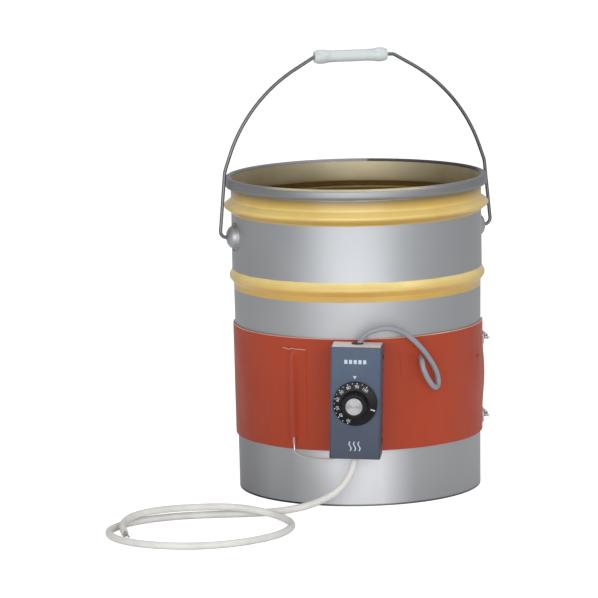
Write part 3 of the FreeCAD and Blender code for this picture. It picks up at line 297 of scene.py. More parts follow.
# Pail shell. One sheet of tinned steel, 0.6 mm thick, rolled, welded up the
# back and swaged with two rings. The top is rolled outwards into a stiff curl
# and the foot is hemmed inwards. The inside has a clear gold lacquer.
def eased(points, bends, steps=5):
    """A line of points with each inner corner rounded by an arc."""
    line = [Vector(points[0])]
    for before, corner, after, bend in zip(points, points[1:], points[2:], bends):
        before, corner, after = Vector(before), Vector(corner), Vector(after)
        back = (before - corner).normalized()
        ahead = (after - corner).normalized()
        half_turn = (math.pi - back.angle(ahead)) / 2
        reach = bend * math.tan(half_turn)
        middle = corner + (back + ahead).normalized() * bend / math.cos(half_turn)
        start = corner + back * reach - middle
        end = corner + ahead * reach - middle
        for step in range(steps + 1):
            spoke = start.lerp(end, step / steps).normalized() * bend
            line.append(middle + spoke)
    line.append(Vector(points[-1]))
    return line


def thickened(line, gauge):
    """The closed outline of a bent sheet, with its gauge to the left of the line."""
    far = []
    for index, point in enumerate(line):
        before = line[max(index - 1, 0)]
        after = line[min(index + 1, len(line) - 1)]
        along = (after - before).normalized()
        far.append(point + Vector((-along.y, along.x)) * gauge)
    return line + far[::-1]


def new_piece(name, mesh, body, slot, *nodes):
    """Puts a mesh in the scene, on its body, in place of the plain solids."""
    piece = shown(name, mesh)
    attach(piece, body)
    if nodes:
        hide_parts(*nodes)
    return piece


def built_mesh(name, build, *finishes, sharp=None, smooth=False):
    """The mesh of a build, with its finishes and with creases at the sharp edges."""
    for face in build.faces:
        face.smooth = face.smooth or smooth
    bmesh.ops.recalc_face_normals(build, faces=build.faces)
    mesh = bpy.data.meshes.new(name)
    build.to_mesh(mesh)
    build.free()
    for finish in finishes:
        mesh.materials.append(finish)
    if sharp:
        mesh.set_sharp_from_angle(angle=math.radians(sharp))
    return mesh


def out_at(turn, radius, height):
    """The frame at a turn, a radius and a height on the pail, with X outwards."""
    return Matrix.Rotation(turn, 4, "Z") @ Matrix.Translation((radius, 0.0, height))


def round_axis(radius, turn, height):
    return Vector((radius * math.cos(turn), radius * math.sin(turn), height))


def turned_mesh(name, outline, finishes, segments=192, finish_of=None, sharp=40.0):
    """A closed outline of (radius, height) turned about the Z axis."""
    build = bmesh.new()
    rings = []
    for radius, height in outline:
        if abs(radius) < 1e-7:
            rings.append([build.verts.new((0.0, 0.0, height))] * segments)
            continue
        ring = []
        for step in range(segments):
            turn = 2 * math.pi * step / segments
            ring.append(build.verts.new(round_axis(radius, turn, height)))
        rings.append(ring)
    for index, ring in enumerate(rings):
        following = rings[(index + 1) % len(rings)]
        for step in range(segments):
            after = (step + 1) % segments
            corners = [ring[step], ring[after], following[after], following[step]]
            corners = list(dict.fromkeys(corners))
            if len(corners) < 3:
                continue
            face = build.faces.new(corners)
            face.material_index = finish_of(index) if finish_of else 0
    return built_mesh(name, build, *finishes, sharp=sharp, smooth=True)


bare_steel, tree, shader = new_finish("tinned steel", Metallic=1.0)
patches = cloud(tree, 9.0, 3.0)
fine = cloud(tree, 260.0, 2.0, (1.0, 1.0, 0.25))
steel_tone = between(tree, patches, 0.35, 0.65, 0.0, 1.0)
steel_colour = blended(tree, steel_tone, colour(0.515, 0.535, 0.560), colour(0.555, 0.570, 0.590))
spot = add(tree, "ShaderNodeSeparateXYZ", {"Vector": place(tree)})
across, back, up = spot.outputs
# Painted light on the curl: the steel is painted darker from the curl's foot to its top as shade, with a
# painted highlight band round its middle.
curl_painted_light = (
    (0.3468, 0.77), (0.3474, 0.50), (0.3516, 0.52), (0.3524, 0.95),
    (0.3533, 0.95), (0.3542, 0.52), (0.3580, 0.62),
)
steel_colour = shaded(tree, up, steel_colour, [(where, (share,) * 3) for where, share in curl_painted_light])


def times(tree, *factors):
    """The product of some factors between 0 and 1."""
    product = factors[0]
    for factor in factors[1:]:
        product = add(tree, "ShaderNodeMath", {0: product, 1: factor}, operation="MULTIPLY").outputs[0]
    return product


# Painted highlight: a brighter patch on the front of the foot, below the band, where the lamp's reflection
# is painted in.
painted_foot_highlight = times(
    tree,
    between(tree, across, -0.070, -0.018, 0.0, 1.0),
    between(tree, across, 0.034, 0.070, 1.0, 0.0),
    between(tree, back, -0.10, -0.05, 1.0, 0.0),
    between(tree, up, 0.060, 0.068, 1.0, 0.0),
)
steel_colour = blended(tree, painted_foot_highlight, steel_colour, colour(0.66, 0.675, 0.70))
# Painted shade: the left part of the foot, below the band, is painted darker.
left_foot_painted_shade = times(
    tree,
    between(tree, across, -0.125, -0.090, 1.0, 0.0),
    between(tree, up, 0.060, 0.068, 0.45, 0.0),
)
steel_colour = blended(tree, left_foot_painted_shade, steel_colour, colour(0.16, 0.16, 0.16))
# Painted shadow: a near-black line along the bottom edge of the foot, strongest on the left.
foot_painted_shadow = times(
    tree,
    between(tree, up, 0.0016, 0.0026, 1.0, 0.0),
    between(tree, across, -0.07, 0.0, 1.0, 0.72),
)
# Painted dark reflection: the upper part of the far rim's curl, right of the middle, is darkened.
far_rim_painted_reflection = times(
    tree,
    between(tree, across, 0.002, 0.006, 0.0, 1.0),
    between(tree, back, 0.110, 0.120, 0.0, 1.0),
    between(tree, up, 0.352, 0.354, 0.0, 0.55),
)
# The painted shadow at the foot and the painted dark reflection on the far rim, together, in near black.
painted_shadow_and_reflection = add(tree, "ShaderNodeMath", {0: foot_painted_shadow, 1: far_rim_painted_reflection}, operation="MAXIMUM").outputs[0]
feed(shader, {
    "Base Color": blended(tree, painted_shadow_and_reflection, steel_colour, colour(0.015, 0.015, 0.016)),
    "Roughness": between(tree, patches, 0.3, 0.7, 0.46, 0.54),
    "Normal": bumped(tree, fine, 0.0004, 0.10),
})
gold_lacquer, tree, shader = new_finish("gold lacquer", Metallic=1.0)
lacquer = mottled(tree, 16.0, (0.62, 0.55, 0.38), (0.52, 0.45, 0.30), (0.4, 0.7))
across, back, up = add(tree, "ShaderNodeSeparateXYZ", {"Vector": place(tree)}).outputs
# Painted shade: the lacquer is painted darker and browner below the upper swage, deeper inside the pail.
lacquer = shaded(tree, up, lacquer, [
    (0.300, (0.55, 0.46, 0.34)), (0.333, (0.62, 0.52, 0.38)),
    (0.337, (0.95, 0.94, 0.90)), (0.352, (1.0, 1.0, 1.0)),
])
# The lacquer runs over the curl's top so that its near front shows a cream painted reflection; the rest of
# the curl's top is painted steel grey.
curl_top_beside_painted_reflection = times(
    tree,
    between(tree, back, -0.130, -0.110, 0.0, 1.0),
    between(tree, up, 0.3556, 0.3560, 0.0, 1.0),
)
lacquer = blended(tree, curl_top_beside_painted_reflection, lacquer, colour(0.30, 0.30, 0.31))
# Painted shade: the top of the far curl, right of the middle, is painted near black.
far_curl_top_painted_shade = times(
    tree,
    curl_top_beside_painted_reflection,
    between(tree, across, 0.002, 0.006, 0.0, 0.8),
    between(tree, back, 0.02, 0.05, 0.0, 1.0),
)
lacquer = blended(tree, far_curl_top_painted_shade, lacquer, colour(0.045, 0.040, 0.045))
feed(shader, {
    "Base Color": lacquer,
    "Roughness": between(tree, cloud(tree, 22.0), 0.3, 0.7, 0.50, 0.62),
})
sheet = 0.0006
foot_radius, waist_radius, neck_radius = 0.1386, 0.1412, 0.1428
rim_top, curl_foot, curl_tuck = 0.3582, 0.3472, 0.3515
lower_swage = [(waist_radius, 0.2376), (0.1458, 0.2434), (0.1458, 0.2466), (neck_radius, 0.2524)]
upper_swage = [(neck_radius, 0.3184), (0.1507, 0.3242), (0.1507, 0.3270), (neck_radius, 0.3328)]
lower_bends = [0.002, 0.002, 0.002, 0.002]
upper_bends = [0.002, 0.0016, 0.0016, 0.002]
shell_line = eased(
    [
        (foot_radius - 0.006, 0.0), (foot_radius, 0.0), *lower_swage, *upper_swage,
        (neck_radius, rim_top), (0.1480, rim_top), (0.1494, 0.3555), (0.1494, 0.3500), (0.1482, curl_foot),
        (0.1439, curl_foot), (0.1439, curl_tuck),
    ],
    [0.0008, *lower_bends, *upper_bends, 0.0024, 0.0028, 0.0045, 0.005, 0.0025, 0.0018],
)
shell_outline = thickened(shell_line, sheet)
rim_turn = next(i for i, p in enumerate(shell_line) if p.y > 0.35 and p.x > 0.14885)
inside_start = len(shell_outline) - 1 - rim_turn


def shell_side(index):
    """The steel shows outside and on the curl's outer side, and the lacquer on the inner wall and over the
    curl's top, whose near front carries a cream painted reflection.
    """
    return 1 if inside_start <= index < len(shell_outline) - 6 else 0


shell_mesh = turned_mesh("pail_shell_sheet", shell_outline, [bare_steel, gold_lacquer], finish_of=shell_side)
new_piece("pail_shell_sheet", shell_mesh, "pail", "steel_bare", "pail_shell")

# Pail bottom. A pressed steel pan, lacquered as the wall is, let into the foot
# of the shell, with a raised middle that keeps it stiff.
base_line = eased(
    [(0.1374, 0.0016), (0.1374, 0.006), (0.126, 0.006), (0.1235, 0.0085), (0.0, 0.0085)],
    [0.002, 0.002, 0.002],
)
base_mesh = turned_mesh("pail_bottom_pan", thickened(base_line, -sheet), [gold_lacquer])
new_piece("pail_bottom_pan", base_mesh, "pail", "gold_lacquer", "pail_base")

# Yellow rings. Two fields of gloss paint brushed over the swages, with edges
# that waver a little and a few dark specks. Their colour is painted darker by
# height as shade under the curl and under each swage, and paler as a painted
# highlight on the swages' upper slopes and crests.
yellow_paint, tree, shader = new_finish("yellow paint", Roughness=0.32)
shader.inputs["Coat Weight"].default_value = 0.25
shader.inputs["Coat Roughness"].default_value = 0.15
yellow = mottled(tree, 20.0, (0.82, 0.63, 0.23), (0.74, 0.54, 0.18), (0.35, 0.7))
height_up = add(tree, "ShaderNodeSeparateXYZ", {"Vector": place(tree)}).outputs[2]
# Painted light by height: shade under the curl and on the swages' undersides, and a paler painted highlight
# on their upper slopes and crests.
yellow = shaded(tree, height_up, yellow, [
    (0.2312, (0.62, 0.56, 0.50)), (0.2335, (0.65, 0.54, 0.27)), (0.2420, (0.74, 0.57, 0.38)),
    (0.2450, (0.70, 0.62, 0.38)), (0.2472, (0.92, 0.95, 1.0)), (0.2535, (0.92, 0.96, 1.0)),
    (0.3170, (0.56, 0.48, 0.36)), (0.3192, (0.60, 0.49, 0.27)), (0.3238, (0.62, 0.51, 0.28)),
    (0.3250, (0.97, 0.90, 0.75)), (0.3265, (1.0, 0.99, 0.95)), (0.3328, (1.0, 0.99, 0.95)),
    (0.3345, (0.78, 0.71, 0.52)), (0.3372, (0.66, 0.60, 0.38)), (0.3402, (0.52, 0.44, 0.26)),
    (0.3430, (0.29, 0.27, 0.25)),
])
specks = between(tree, cloud(tree, 420.0, 1.0), 0.79, 0.84, 0.0, 0.6)
feed(shader, {
    "Base Color": blended(tree, specks, yellow, colour(0.20, 0.13, 0.03)),
    "Normal": bumped(tree, cloud(tree, 90.0), 0.0003, 0.25),
})


def paint_mesh(name, points, bends):
    """A thin coat on the shell whose two edges waver round the pail."""
    coat = 0.00012
    line = eased(points, bends)
    mesh = turned_mesh(name, thickened(line, -coat), [yellow_paint], segments=288)
    foot, top = points[0][1], points[-1][1]
    for vertex in mesh.vertices:
        co = vertex.co
        waver = noise.noise(Vector((co.x, co.y, top)) * 40.0) * 0.0007
        if co.z - foot < 0.0004:
            co.z += abs(waver)
        elif top - co.z < 0.0004:
            co.z -= abs(waver)
    return mesh


upper_coat = paint_mesh(
    "upper_yellow_ring",
    [(neck_radius, 0.3168), *upper_swage, (neck_radius, 0.3456)],
    upper_bends,
)
new_piece("upper_yellow_ring", upper_coat, "pail", "yellow_paint", "upper_paint")
lower_coat = paint_mesh(
    "lower_yellow_ring",
    [(0.14113, 0.2310), *lower_swage, (neck_radius, 0.2536)],
    lower_bends,
)
new_piece("lower_yellow_ring", lower_coat, "pail", "yellow_paint", "lower_paint")

# Ears. Two pressed cups of the same tinned steel, spot welded on the neck by a
# small flange, with a hole in the face for the end of the bail.
ear_turn = math.radians(19)
pivot_height = 0.293
cup_radius, hole_radius, flange_radius, flange_bore, flange_root = 0.0136, 0.0029, 0.0165, 0.0125, 0.1400
flange_skin = neck_radius + 0.0013
cup_line = eased(
    [(cup_radius, 0.1395), (cup_radius, 0.1442), (0.0124, 0.1482), (0.0090, 0.1514), (hole_radius, 0.1528)],
    [0.0040, 0.0070, 0.0100],
)
flange_line = eased(
    [(flange_radius, flange_root), (flange_radius, flange_skin), (flange_bore, flange_skin)],
    [0.0006],
)
for name, turn in (("left_ear", ear_turn + math.pi), ("right_ear", ear_turn)):
    build = bmesh.new()
    flange_outline = flange_line + [Vector((flange_bore, flange_root))]
    for line in (thickened(cup_line, 0.001), flange_outline):
        part = turned_mesh("part", line, [], segments=64)
        for vertex in part.vertices:
            if vertex.co.z > flange_skin - 0.0001:
                wall = math.sqrt((flange_skin - 0.0002) ** 2 - vertex.co.x ** 2)
                vertex.co.z = wall + (vertex.co.z - flange_skin)
        build.from_mesh(part)
        bpy.data.meshes.remove(part)
    bmesh.ops.transform(build, matrix=Matrix.Rotation(math.pi / 2, 4, "Y"), verts=build.verts)
    bmesh.ops.transform(build, matrix=out_at(turn, 0.0, pivot_height), verts=build.verts)
    mesh = built_mesh(name + "_cup", build, bare_steel, sharp=40)
    new_piece(mesh.name, mesh, "pail", "ear_steel", name)

# Bail. A 4 mm drawn steel wire. Each end is headed inside its ear, and a slight
# kink just above the rim lets the legs clear it.
wire_steel, tree, shader = new_finish("drawn wire", Metallic=1.0)
wire_tone = cloud(tree, 60.0)
feed(shader, {
    "Base Color": blended(tree, wire_tone, colour(0.135, 0.14, 0.145), colour(0.19, 0.19, 0.19)),
    "Roughness": between(tree, wire_tone, 0.3, 0.7, 0.32, 0.48),
    "Normal": bumped(tree, cloud(tree, 500.0), 0.0002, 0.2),
})


def swept_mesh(name, line, radius, finish, sides=20):
    """A round bar along a line of points, capped at both ends."""
    build = bmesh.new()
    rings = []
    across = None
    for index, point in enumerate(line):
        before = line[max(index - 1, 0)]
        after = line[min(index + 1, len(line) - 1)]
        ahead = (after - before).normalized()
        if across is None:
            across = ahead.orthogonal().normalized()
        across = (across - ahead * across.dot(ahead)).normalized()
        beside = ahead.cross(across)
        ring = []
        for side in range(sides):
            angle = 2 * math.pi * side / sides
            offset = across * math.cos(angle) + beside * math.sin(angle)
            ring.append(build.verts.new(point + offset * radius))
        rings.append(ring)
    for ring, following in zip(rings, rings[1:]):
        for side in range(sides):
            after = (side + 1) % sides
            build.faces.new((ring[side], ring[after], following[after], following[side])).smooth = True
    build.faces.new(rings[0][::-1])
    build.faces.new(rings[-1])
    return built_mesh(name, build, finish, sharp=40)


bail_rise = 0.2010
bail_half = [
    (0.1488, 0.0), (0.1602, 0.0), (0.1533, 0.0748), (0.1258, 0.1548),
    (0.0467, bail_rise), (0.0, bail_rise),
]
half_line = eased(bail_half, [0.007, 0.030, 0.178, 0.008], steps=16)
bail_line = [Vector((across, 0.0, up)) for across, up in half_line]
bail_line += [Vector((-point.x, 0.0, point.z)) for point in reversed(bail_line[:-1])]
bail_mesh = swept_mesh("bail_wire_bow", bail_line, 0.002, wire_steel)
bail_mesh.transform(out_at(ear_turn, 0.0, pivot_height))
new_piece("bail_wire_bow", bail_mesh, "bail", "bail_steel", "bail_wire")

# Grip. A white moulded sleeve that turns on the bail, with a bulge at each end
# and a fine parting line.
white_moulding = mottled_finish(
    "white moulding",
    (70.0, (0.55, 0.595, 0.605), (0.46, 0.49, 0.49), (0.5, 0.75)),
    (700.0, 0.0002, 0.25),
    Roughness=0.38,
)
grip_half = eased(
    [
        (0.0023, 0.0427), (0.0062, 0.0427), (0.0078, 0.0385), (0.00815, 0.0325), (0.0070, 0.0265),
        (0.0067, 0.0205), (0.0067, 0.0),
    ],
    [0.001, 0.004, 0.004, 0.003, 0.006],
)
grip_outline = grip_half + [Vector((p.x, -p.y)) for p in reversed(grip_half[:-1])]
grip_mesh = turned_mesh("grip_sleeve", grip_outline, [white_moulding], segments=64)
grip_mesh.transform(Matrix.Rotation(math.pi / 2, 4, "Y"))
slid_left = 0.0040
grip_mesh.transform(Matrix.Translation((-slid_left, 0.0, bail_rise)))
grip_mesh.transform(out_at(ear_turn, 0.0, pivot_height))
new_piece("grip_sleeve", grip_mesh, "grip", "white_moulding", "bail_grip")

# Heater band. Two plies of red-orange silicone rubber on a fine glass weave,
# with the heating wire between them. It is wrapped round the pail and its two
# ends are pulled together by springs.
silicone, tree, shader = new_finish("red silicone", Roughness=0.55)
shader.inputs["Specular IOR Level"].default_value = 0.22
shader.inputs["Sheen Weight"].default_value = 0.10
shader.inputs["Sheen Roughness"].default_value = 0.35
weave = add(tree, "ShaderNodeTexVoronoi", {"Vector": place(tree), "Scale": 1300.0}).outputs["Distance"]
hue = between(tree, cloud(tree, 11.0, 3.0, (1.0, 1.0, 0.35)), 0.35, 0.68, 0.0, 1.0)
soil = between(tree, cloud(tree, 45.0), 0.60, 0.85, 0.0, 0.55)
red = blended(tree, hue, colour(0.325, 0.040, 0.014), colour(0.375, 0.052, 0.022))
feed(shader, {
    "Base Color": blended(tree, soil, red, colour(0.30, 0.07, 0.05)),
    "Roughness": between(tree, cloud(tree, 25.0), 0.3, 0.7, 0.48, 0.64),
    "Normal": bumped(tree, weave, 0.0002, 0.22),
})
band_foot, band_top, band_sheet, band_gap = 0.0636, 0.1908, 0.002, 0.0003
split_turn = math.radians(13)
split_half = math.radians(8)


def band_outside(height):
    """Radius of the band's outer face: it follows the shell's taper."""
    taper = (waist_radius - foot_radius) / lower_swage[0][1]
    return foot_radius + taper * height + band_gap + band_sheet


def flat(turn, height):
    return 0.0


def sheet_on_band(
    name, foot, top, start, end, gauge, finish, under=0.0, columns=96, rows=12, sway=0.0, lift=flat, cut=()
):
    """A sheet on a conical face, closed all round, from one turn to another. Its
    top is chamfered where a finish for the cut is given."""
    build = bmesh.new()
    grid = []
    heights = [foot + (top - foot) * row / rows for row in range(rows + 1)]
    chamfer = 0.0007 if cut else 0.0
    if cut:
        heights = heights[:-1] + [top - chamfer, top]
        rows += 1
    for depth in (0.0, gauge):
        layer = []
        for row, height in enumerate(heights):
            line = []
            for column in range(columns + 1):
                turn = start + (end - start) * column / columns
                ripple = noise.noise(Vector((turn * 2.3, height * 9.0, 1.7))) * sway
                radius = band_outside(height) - under + depth + abs(ripple) + lift(turn, height)
                edge = 1.0 if row in (0, rows) else 0.0
                if depth > 0.0 and row == rows:
                    radius -= chamfer
                rise = noise.noise(Vector((turn * 3.0, 5.0, row * 1.0))) * sway * edge
                line.append(build.verts.new(round_axis(radius, turn, height + rise)))
            layer.append(line)
        grid.append(layer)
    inner, outer = grid
    cut_faces = []
    for layer in grid:
        for row in range(rows):
            for column in range(columns):
                face = build.faces.new((
                    layer[row][column], layer[row][column + 1],
                    layer[row + 1][column + 1], layer[row + 1][column],
                ))
                if cut and layer is outer and row == rows - 1:
                    cut_faces.append(face)
    for row in range(rows):
        for column in (0, columns):
            build.faces.new((
                inner[row][column], inner[row + 1][column],
                outer[row + 1][column], outer[row][column],
            ))
    for column in range(columns):
        for row in (0, rows):
            face = build.faces.new((
                inner[row][column], outer[row][column],
                outer[row][column + 1], inner[row][column + 1],
            ))
            if row == rows:
                cut_faces.append(face)
    for face in cut_faces:
        face.material_index = len(cut)
    return built_mesh(name, build, finish, *cut, sharp=40, smooth=True)


# The pale cut top edge of the band, and the glue bead: partly the pale glass weave in the cut, partly a
# painted highlight along the top edge.
cut_edge_highlight = mottled_finish(
    "cut silicone edge highlight", (220.0, (0.66, 0.42, 0.36), (0.52, 0.25, 0.20)), Roughness=0.7,
)


def end_swell(turn, height):
    """The front end stands off the pail a little between the two springs."""
    swell, half_height, end_degrees, fade_degrees = 0.0024, 0.045, 365, 6
    from_middle = (height - (band_foot + band_top) / 2) / half_height
    if abs(from_middle) >= 1.0:
        return 0.0
    from_end = (math.degrees(turn) - end_degrees) / fade_degrees
    return swell * math.exp(-from_end * from_end) * math.cos(math.pi * from_middle / 2) ** 2


band_mesh = sheet_on_band(
    "silicone_band", band_foot, band_top, split_turn + split_half, split_turn - split_half + 2 * math.pi,
    band_sheet, silicone, under=band_sheet, columns=288, rows=20, sway=0.0004, lift=end_swell,
    cut=(cut_edge_highlight,),
)
new_piece("silicone_band", band_mesh, "pail", "silicone_rubber", "heater_band")

# Band hooks. Each is one bent strip and plate of plated steel, held on the end
# of the band by two rivets, with its tongue turned back to catch a spring.
plated_steel, tree, shader = new_finish("plated steel", Metallic=1.0)
plate_tone = cloud(tree, 150.0)
feed(shader, {
    "Base Color": blended(tree, plate_tone, colour(0.60, 0.60, 0.60), colour(0.48, 0.48, 0.47)),
    "Roughness": between(tree, plate_tone, 0.3, 0.7, 0.28, 0.42),
})


def on_band(mesh, turn, height):
    """From a frame with X outwards and Y round the band to the pail's own frame."""
    mesh.transform(out_at(turn, band_outside(height), height))


def slab(build, low, high, bevel=0.0003):
    """A box between two corners, with its edges broken."""
    made = bmesh.ops.create_cube(build, size=1.0)["verts"]
    size = Vector(high) - Vector(low)
    middle = (Vector(high) + Vector(low)) / 2
    bmesh.ops.scale(build, vec=size, verts=made)
    bmesh.ops.translate(build, vec=middle, verts=made)
    edges = list({edge for vertex in made for edge in vertex.link_edges})
    bmesh.ops.bevel(build, geom=edges, offset=bevel, segments=2, affect="EDGES", profile=0.5)


def strip(build, line, gauge, width):
    """A bent strip: its line lies on the XY plane and its width runs along Z."""
    outline = thickened(line, gauge)
    sides = []
    for height in (-width / 2, width / 2):
        sides.append([build.verts.new((point.x, point.y, height)) for point in outline])
    count = len(outline)
    for index in range(count):
        after = (index + 1) % count
        build.faces.new((sides[0][index], sides[0][after], sides[1][after], sides[1][index]))
    for index in range(len(line) - 1):
        far = count - 1 - index
        for side in sides:
            build.faces.new((side[index], side[index + 1], side[far - 1], side[far]))


spring_heights = (("upper", 0.1678), ("lower", 0.0776))
hook_gauge, hook_half, hook_rise, rivet_back, rivet_up = 0.001, 0.0060, 0.0074, 0.00824, 0.0034
hook_spots = []
for level, height in spring_heights:
    for place_name, turn, toward in (("front", math.radians(2), 1), ("rear", math.radians(24), -1)):
        hook_spots.append((level, place_name, height, turn, toward))
for level, place_name, height, turn, toward in hook_spots:
    build = bmesh.new()
    around = sorted((-toward * 0.01224, toward * 0.00476))
    slab(build, (-0.0002, around[0], -hook_half), (hook_gauge, around[1], hook_half))
    tongue = eased(
        [(0.0003, -toward * 0.0061), (0.0003, 0.0), (hook_rise, 0.0), (hook_rise, -toward * 0.005)],
        [0.0013, 0.0016],
    )
    strip(build, tongue, -toward * hook_gauge, 0.003)
    mesh = built_mesh(level + "_" + place_name + "_band_hook", build, plated_steel)
    on_band(mesh, turn, height)
    new_piece(mesh.name, mesh, "pail", "hook_steel", level + "_" + place_name + "_hook")

# Hook rivets. Two small domed steel rivets hold each hook to the band.
def domed_head(build, where, radius, columns, flat_share=0.46):
    """A round head, flattened along the X axis of its place."""
    head = bmesh.ops.create_uvsphere(build, u_segments=columns, v_segments=columns // 2, radius=radius)
    seat = where @ Matrix.Diagonal((flat_share, 1.0, 1.0, 1.0))
    bmesh.ops.transform(build, matrix=seat, verts=head["verts"])


build = bmesh.new()
for level, place_name, height, turn, toward in hook_spots:
    for up in (rivet_up, -rivet_up):
        on_hook = Matrix.Translation((hook_gauge, -toward * rivet_back, up))
        domed_head(build, out_at(turn, band_outside(height), height) @ on_hook, 0.0026, 20)
rivet_mesh = built_mesh("hook_rivet_heads", build, plated_steel, smooth=True)
new_piece("hook_rivet_heads", rivet_mesh, "pail", "rivet_steel", "hook_rivets")

# Springs. Close wound steel wire with a loop at each end, stretched over the
# gap between the band's two ends.
spring_wire = 0.00075
for level, height in spring_heights:
    standing = band_outside(height) + 0.0047
    angle = math.radians(11)
    loop_radius = 0.0029
    ahead = loop_radius - spring_wire - 0.001 - 0.0006
    out = standing * math.cos(angle) + ahead * math.sin(angle)
    reach = standing * math.sin(angle) - ahead * math.cos(angle)
    body_half = 0.0175
    coil_radius = 0.0040 - spring_wire
    turns = 22

    def end_loop(middle):
        angles = [2 * math.pi * step / 24 for step in range(25)]
        return [Vector((loop_radius * math.sin(a), middle - loop_radius * math.cos(a), 0.0)) for a in angles]

    line = end_loop(-reach)
    for step in range(turns * 20 + 1):
        turn = 2 * math.pi * step / 20
        along = -body_half + 2 * body_half * step / (turns * 20)
        grow = min(1.0, step / 10.0, (turns * 20 - step) / 10.0)
        radius = coil_radius * (0.25 + 0.75 * grow)
        line.append(Vector((radius * math.cos(turn), along, radius * math.sin(turn))))
    line += end_loop(reach)
    mesh = swept_mesh(level + "_coil_spring", line, spring_wire, plated_steel, sides=8)
    mesh.transform(out_at(split_turn, out, height))
    new_piece(mesh.name, mesh, "pail", "spring_steel", level + "_spring")

# End rivet. A small dark rivet through the band near its front end.
dark_metal = mottled_finish(
    "dark metal", (300.0, (0.03, 0.03, 0.03), (0.07, 0.06, 0.06)), Metallic=0.6, Roughness=0.5,
)
build = bmesh.new()
domed_head(build, Matrix.Identity(4), 0.0019, 24)
mesh = built_mesh("band_end_rivet", build, dark_metal, smooth=True)
on_band(mesh, math.radians(-14.6), 0.1539)
new_piece("band_end_rivet", mesh, "pail", "dark_rivet", "end_rivet")

# Sensor pocket. A patch of the same silicone, bonded to the band, with a
# raised rib down its left part that the bulb slides into from below, and a thin
# pale bead along its top: glue, made pale as a painted highlight.
pocket_foot, pocket_top = 0.078, 0.1775
pocket_turn = math.radians(-115.4)
pocket_half = 0.02550 / 0.1427 / 2
pocket_mesh = sheet_on_band(
    "sensor_pocket_patch", pocket_foot, pocket_top, pocket_turn - pocket_half, pocket_turn + pocket_half,
    0.0003, silicone, columns=24, rows=24, sway=0.0003,
)
rib_turn = math.radians(-116.6)


def rib_point(height):
    return round_axis(band_outside(height) + 0.00284, rib_turn, height)


build = bmesh.new()
build.from_mesh(pocket_mesh)
rib_steps = 24
rings = []
for step in range(rib_steps + 1):
    height = pocket_foot + (pocket_top - pocket_foot) * step / rib_steps
    centre = rib_point(height)
    outward = Vector((centre.x, centre.y, 0.0)).normalized()
    beside = Vector((-outward.y, outward.x, 0.0))
    closing = 1.0 if step < rib_steps - 1 else (0.86 if step == rib_steps - 1 else 0.5)
    ring = []
    for side in range(21):
        across = side / 10 - 1.0
        swell = (0.5 + 0.5 * math.cos(math.pi * across)) ** 0.8 * 0.0072 * closing
        offset = outward * (swell - 0.0031) + beside * across * 0.0072
        ring.append(build.verts.new(centre + offset))
    rings.append(ring)
for ring, following in zip(rings, rings[1:]):
    for side in range(20):
        build.faces.new((ring[side], ring[side + 1], following[side + 1], following[side])).smooth = True
build.faces.new(rings[-1])
build.faces.new(rings[0][::-1])
bmesh.ops.recalc_face_normals(build, faces=build.faces)
# A bead of glue along the pocket's top, pale as a painted highlight of the glint there.
glue_glint_line = []
for step in range(25):
    share = step / 24
    turn = pocket_turn + pocket_half * (2.3 * share - 1.3)
    crest = 0.0009 * math.exp(-((share - 0.42) / 0.07) ** 2)
    dip = 0.0010 * math.exp(-((share - 0.30) / 0.10) ** 2)
    height = pocket_top + 0.0006 - 0.0007 * share + crest - dip
    radius = band_outside(height) + 0.0004 + 0.0020 * math.exp(-((share - 0.36) / 0.14) ** 2)
    glue_glint_line.append(round_axis(radius, turn, height))
glue_bead_with_glint = swept_mesh("glue_bead_with_glint", glue_glint_line, 0.00045, cut_edge_highlight, sides=8)
for polygon in glue_bead_with_glint.polygons:
    polygon.material_index = 1
build.from_mesh(glue_bead_with_glint)
bpy.data.meshes.remove(glue_bead_with_glint)
build.to_mesh(pocket_mesh)
build.free()
pocket_mesh.materials.append(cut_edge_highlight)
pocket_mesh.set_sharp_from_angle(angle=math.radians(50))
new_piece("sensor_pocket_patch", pocket_mesh, "pail", "silicone_rubber", "sensor_pocket")

# Sensor tube. A thin tinned copper capillary from the bulb in the pocket to the
# switch in the box, with a reddish braided sleeve where it leaves the pocket.
copper, tree, shader = new_finish("drawn copper", Metallic=1.0)
copper_tone = cloud(tree, 120.0)
feed(shader, {
    "Base Color": blended(tree, copper_tone, colour(0.82, 0.78, 0.74), colour(0.66, 0.62, 0.59)),
    "Roughness": between(tree, copper_tone, 0.3, 0.7, 0.30, 0.45),
})


def repaint(node_name, finish):
    """Gives a plain solid, kept as it is, its finish."""
    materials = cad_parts[node_name].data.materials
    materials.clear()
    materials.append(finish)


repaint("sensor_bulb", copper)
tube_route = [
    tuple(rib_point(0.084)), tuple(rib_point(0.066)),
    (-0.0632, -0.1322, 0.0598), (-0.0565, -0.1364, 0.0571), (-0.0450, -0.1426, 0.0565),
    (-0.0300, -0.1506, 0.0564), (-0.0184, -0.1566, 0.0574), (-0.0133, -0.1593, 0.0630),
    (-0.0129, -0.1593, 0.0703),
]
sensor_tube = cord_curve("sensor_tube", tube_route, 0.0008, copper)
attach(sensor_tube, "pail")
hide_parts("capillary")
pale_braid, tree, shader = new_finish("reddish braid", Roughness=0.8)
braid = add(tree, "ShaderNodeTexVoronoi", {"Vector": place(tree), "Scale": 1800.0}).outputs["Distance"]
feed(shader, {
    "Base Color": blended(tree, braid, colour(0.40, 0.14, 0.10), colour(0.60, 0.40, 0.34)),
    "Normal": bumped(tree, braid, 0.0003, 0.5),
})
sleeve_line = [rib_point(0.070), rib_point(0.0838)]
sleeve_mesh = swept_mesh("braided_sleeve", sleeve_line, 0.0015, pale_braid, sides=24)
new_piece("braided_sleeve", sleeve_mesh, "pail", "pale_sleeve", "capillary_sleeve")

